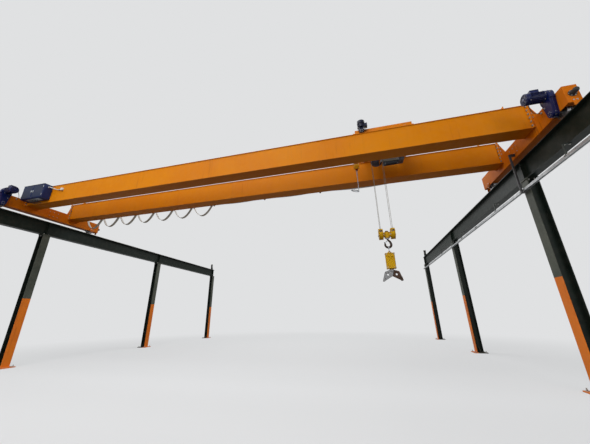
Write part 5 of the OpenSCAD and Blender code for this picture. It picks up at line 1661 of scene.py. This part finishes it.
hookFittings = {
    "collar": [(0.0242, 0), (0.036, 0), (0.038, 0.004), (0.038, 0.018), (0.034, 0.022), (0.0242, 0.022)],
    "collarZ": -0.137, "lock": ((-0.03, -0.003, -0.008), (0.03, 0.003, 0.008)), "lockZ": 0.081,
    "hinge": (-0.012, 0.112), "point": (-0.082, 0.036), "latchHalf": 0.0285, "latchThick": 0.0028,
    "rungs": (0.55, 0.75, 0.93), "rung": [(0, -0.0285), (0.0032, -0.0285), (0.0032, 0.0285), (0, 0.0285)],
    "pin": [(0, -0.034), (0.006, -0.034), (0.006, 0.034), (0, 0.034)],
}


def buildHook():
    # the forged section is round at the shank and swells to an upright oval in the bowl
    line = hookLine()
    spots = [spot + Vector((hookX, bridgeY, 0)) for spot, _ in line]
    sizes = [(high, wide) for _, (wide, high) in line]
    bm = bmesh.new()
    section = ringOutline(forged["radius"], forged["sides"])
    addShape(bm, sweptMesh(spots, section, ups=[farWay] * len(spots), sizes=sizes))
    addBolt(bm, "hookNut", (hookX, bridgeY, blockZ + forged["nutHigh"]), up)
    hook = newPiece("forgedHook", bm, "hookSteel", "hook", 50)
    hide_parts("hook")
    f = hookFittings
    steel = bmesh.new()
    addTurned(steel, f["collar"], (hookX, bridgeY, blockZ + f["collarZ"]), up, 40)
    addBox(steel, *f["lock"], at(hookX, bridgeY, blockZ + f["lockZ"]), 0.002)
    # the sprung latch closes the mouth from the neck to the point
    hinge, point = (Vector((hookX + dx, bridgeY, bowlZ + dz)) for dx, dz in (f["hinge"], f["point"]))
    run = point - hinge
    long, thick = run.length, f["latchThick"]
    latch = [(0, -0.009), (long * 0.94, -0.006), (long, -0.002), (long, 0.004), (long * 0.94, 0.007), (0, 0.009)]
    for s in signs:
        side = Vector((0, s * f["latchHalf"] + thick / 2, 0))
        slope = Matrix.Rotation(math.atan2(-run.z, run.x), 4, "Y") @ Matrix.Rotation(math.radians(90), 4, "X")
        addShape(steel, plateMesh(latch, thick, 0.0008), Matrix.Translation(hinge + side) @ slope)
    for t in f["rungs"]:
        addTurned(steel, f["rung"], hinge + run * t, farWay, 10)
    addTurned(steel, f["pin"], hinge, farWay, 14)
    boltPiece("hookFittings", steel, "hook", "zincSteel")


clamp = {
    "foot": 2.5698, "top": 2.9598, "halfX": 0.108, "halfY": 0.075, "eyeHigh": 0.032, "eyeHalf": 0.01,
    "eye": [(0.0155, 0), (0.03, 0), (0.03, 0.004), (0.026, 0.007), (0.0155, 0.007)],
    "gusset": [(0, 0), (0.045, 0), (0, 0.03)], "gussetThick": 0.008, "gussetX": 0.045,
    "flangeBolts": (0.092, 0.058, 20), "panelScrews": (0.088, 0.028), "rail": ((-0.066, -0.003, -0.005), (0.066,
        0.003, 0.005)),
    "grip": {"half": 0.05, "high": 0.3, "sink": 0.004, "out": 0.045, "radius": 0.007, "bend": 0.02},
    "gripFoot": [(0, 0), (0.014, 0), (0.014, 0.003), (0.009, 0.006), (0, 0.006)], "sideScrews": ((0.07, 0.32), 0.03),
    "linkWeld": [(0.0088, -0.012), (0.0102, -0.006), (0.0106, 0), (0.0102, 0.006), (0.0088, 0.012)],
    "linkPlace": (0.045, 3.072),
}


def buildClampDress():
    c = clamp
    painted, steel, link = freshMeshes(3)
    foot, top, middle = c["foot"], c["top"], (c["foot"] + c["top"]) / 2
    g, thick = c["grip"], c["gussetThick"]
    for s in signs:
        out, y = (0, s, 0), bridgeY + s * c["halfY"]
        addTurned(painted, c["eye"], (hookX, bridgeY + s * c["eyeHalf"], top + c["eyeHigh"]), out, 36)
        # gussets stiffen the eye plate
        for e in signs:
            place = at(hookX + e * c["gussetX"] + s * thick / 2, bridgeY + s * c["eyeHalf"], top, 90, 0, 90 * s)
            addShape(painted, plateMesh(c["gusset"], thick, 0.001), place)
        # bolts pass up through both flange plates
        across, deep, roll = c["flangeBolts"]
        for e, z, turn in ((-1, top, 0), (-1, foot, 180), (0, top, 0), (1, top, 0), (1, foot, 180)):
            spot = at(hookX + e * across, bridgeY + s * deep, z, turnX=turn, turnZ=roll * e)
            addBolt(steel, "plate", spot)
        # screws at the corners of the recessed panels, with a rail across
        wide, inset = c["panelScrews"]
        boltCorners(steel, "guard", (hookX, y, middle), out, wide, (top - foot) / 2 - inset)
        addBox(painted, *c["rail"], at(hookX, y - s * 0.003, middle), 0.002)
        # a bent bar to guide the clamp by hand on each face
        z = foot + g["high"]
        path = [(hookX + e * g["half"], y + s * reach, z)
                for e, reach in ((-1, -g["sink"]), (-1, g["out"]), (1, g["out"]), (1, -g["sink"]))]
        addShape(painted, sweptMesh(curvePath(path, 6, g["bend"]), ringOutline(g["radius"], 12)))
        for e in signs:
            addTurned(painted, c["gripFoot"], (hookX + e * g["half"], y - s * 0.003, z), out, 20)
    heights, deep = c["sideScrews"]
    for e, dz, s in product(signs, heights, signs):
        addBolt(steel, "arm", (hookX + e * c["halfX"], bridgeY + s * deep, foot + dz), (e, 0, 0))
    newPiece("clampDress", painted, "blockPaint", "hook")
    boltPiece("clampBolts", steel, "hook")
    # the weld of the forged link
    addTurned(link, c["linkWeld"], (hookX, bridgeY + c["linkPlace"][0], c["linkPlace"][1]), up, 24)
    boltPiece("linkWeld", link, "hook", "zincSteel")


jaws = {
    "pivotZ": 2.5118, "pin": [(0, 0), (0.026, 0), (0.026, 0.006), (0.022, 0.01), (0, 0.01)], "pinFace": 0.0555,
    "washer": [(0.0165, 0), (0.034, 0), (0.034, 0.004), (0.03, 0.007), (0.0165, 0.007)], "washerFace": 0.044,
    "rivets": ((0.143, -0.048), (0.186, -0.172), (0.052, -0.102), (0.096, -0.03)), "plate": 0.006,
    "spacers": {-1: ((0.143, -0.048), (0.186, -0.172), (0.17, -0.11)), 1: ((0.143, -0.048), (0.186, -0.172), (0.052,
        -0.102))},
    "gaps": {-1: (0.038, 0.032), 1: (0.02, 0.014)}, "spacerRadius": 0.01,
    "rib": ((-0.002, -0.057, -0.0045), (0.002, 0.057, 0.0045)), "ribX": 0.192, "ribZ": 2.275, "ribPitch": 0.0135,
        "ribs": 6,
    "padBolts": (0.222, 0.047, 2.3098),
}


def buildJawDress():
    j = jaws
    steel, grips, shadedJaw = freshMeshes(3)
    z = j["pivotZ"]
    for s in signs:
        addTurned(steel, j["pin"], (hookX, bridgeY + s * j["pinFace"], z), (0, s, 0), 32)
        addTurned(steel, j["washer"], (hookX, bridgeY + s * j["washerFace"], z), (0, s, 0), 32)
    # the rear jaw's rivets, spacers and pad bolts take its painted shade
    for side, bm in ((-1, steel), (1, shadedJaw)):
        # rivets tie each pair of plates through spacers
        face, gap = j["gaps"][side]
        for s, (dx, dz) in product(signs, j["rivets"]):
            spot = hookX + side * dx, bridgeY + s * (face + j["plate"]), z + dz
            addBolt(bm, "rivet", spot, (0, s, 0))
        r = j["spacerRadius"]
        for dx, dz in j["spacers"][side]:
            spacer = [(0, -gap), (r, -gap), (r, gap), (0, gap)]
            addTurned(bm, spacer, (hookX + side * dx, bridgeY, z + dz), farWay, 20)
        # the pad's grip is cut in ribs, and bolts hold it from behind
        for k in range(j["ribs"]):
            place = at(hookX + side * j["ribX"], bridgeY, j["ribZ"] + j["ribPitch"] * k)
            addBox(grips, *j["rib"], place, 0.0018, 1)
        back, deep, high = j["padBolts"]
        for s in signs:
            addBolt(bm, "keeper", (hookX + side * back, bridgeY + s * deep, high), (side, 0, 0))
    newPiece("jawPins", steel, "jawSteel", "hook")
    newPiece("jawRivets", shadedJaw, "jawShadedBrown", "hook")
    newPiece("jawGrips", grips, "forgedSteel", "hook")


buildBlockDress()
buildHook()
buildClampDress()
buildJawDress()
print("hook block and clamp dressed")

# The studio: a pale floor that keeps the shadow, and even soft light
studio = {
    "floorColour": paint(206, 207, 208), "bounceColour": paint(92, 82, 70), "floorReach": 160.0, "floorRough": 0.9,
    "haze": (4.0, 19.0, 0.45), "skyColour": paint(224, 225, 226), "skyLight": 0.42, "skySeen": 1.0,
    # each lamp has its place, what it looks at, its size and its power
    "lamps": {
        "key": ((-5.0, -18.0, 9.5), (-0.5, -3.0, 5.4), 9.0, 980),
        "over": ((-1.5, -9.5, 15.0), (-0.5, -3.0, 5.5), 11.0, 1350),
        "fill": ((12.0, -15.0, 5.4), (4.5, -3.0, 3.8), 7.0, 420),
        "top": ((0.0, 8.0, 15.0), (0.0, 0.0, 4.5), 13.0, 1600),
    },
}


def cameraSees(tree):
    # 1 for what the camera, a reflection or a window sees, 0 for light on the object
    path = tree.nodes.new("ShaderNodeLightPath")
    seen = mathStep(tree, "MAXIMUM", path.outputs["Is Camera Ray"], path.outputs["Is Glossy Ray"])
    return mathStep(tree, "MAXIMUM", seen, path.outputs["Is Transmission Ray"])


def floorMaterial():
    material, tree, shader = newMaterial("paleFloor")
    seen = cameraSees(tree)
    feed(tree, blendStep(tree, seen, studio["bounceColour"], studio["floorColour"]), shader.inputs["Base Color"])
    shader.inputs["Roughness"].default_value = studio["floorRough"]
    # far out the floor melts into the background, so that no horizon shows
    away = tree.nodes.new("ShaderNodeVectorMath")
    away.operation = "LENGTH"
    feed(tree, tree.nodes.new("ShaderNodeNewGeometry").outputs["Position"], away.inputs[0])
    glow = tree.nodes.new("ShaderNodeEmission")
    glow.inputs["Color"].default_value = studio["skyColour"]
    glow.inputs["Strength"].default_value = studio["skySeen"]
    haze = times(tree, rangeStep(tree, away.outputs["Value"], *studio["haze"]), seen)
    melt = tree.nodes.new("ShaderNodeMixShader")
    for value, socket in zip((haze, shader.outputs[0], glow.outputs[0]), melt.inputs):
        feed(tree, value, socket)
    output = next(n for n in tree.nodes if n.type == "OUTPUT_MATERIAL")
    feed(tree, melt.outputs[0], output.inputs["Surface"])
    return material


def buildStudio():
    bm = bmesh.new()
    bmesh.ops.create_circle(bm, cap_ends=True, segments=96, radius=studio["floorReach"])
    mesh = keepMesh(bm, "floor")
    mesh.materials.append(floorMaterial())
    floor = bpy.data.objects.new("floor", mesh)
    bpy.context.scene.collection.objects.link(floor)
    world = bpy.data.worlds.new("studioSky")
    bpy.context.scene.world = world
    world.use_nodes = True
    tree = world.node_tree
    sky = tree.nodes["Background"]
    sky.inputs["Color"].default_value = studio["skyColour"]
    light = rangeStep(tree, cameraSees(tree), 0.0, 1.0, studio["skyLight"], studio["skySeen"])
    feed(tree, light, sky.inputs["Strength"])
    for name, (place, aim, size, power) in studio["lamps"].items():
        data = bpy.data.lights.new(name, "AREA")
        data.size, data.energy = size, power
        lamp = bpy.data.objects.new(name, data)
        lamp.location = place
        lamp.rotation_euler = (Vector(aim) - Vector(place)).to_track_quat("-Z", "Y").to_euler()
        bpy.context.scene.collection.objects.link(lamp)


buildStudio()
bpy.context.scene.view_settings.view_transform = "Standard"
print("studio lit")
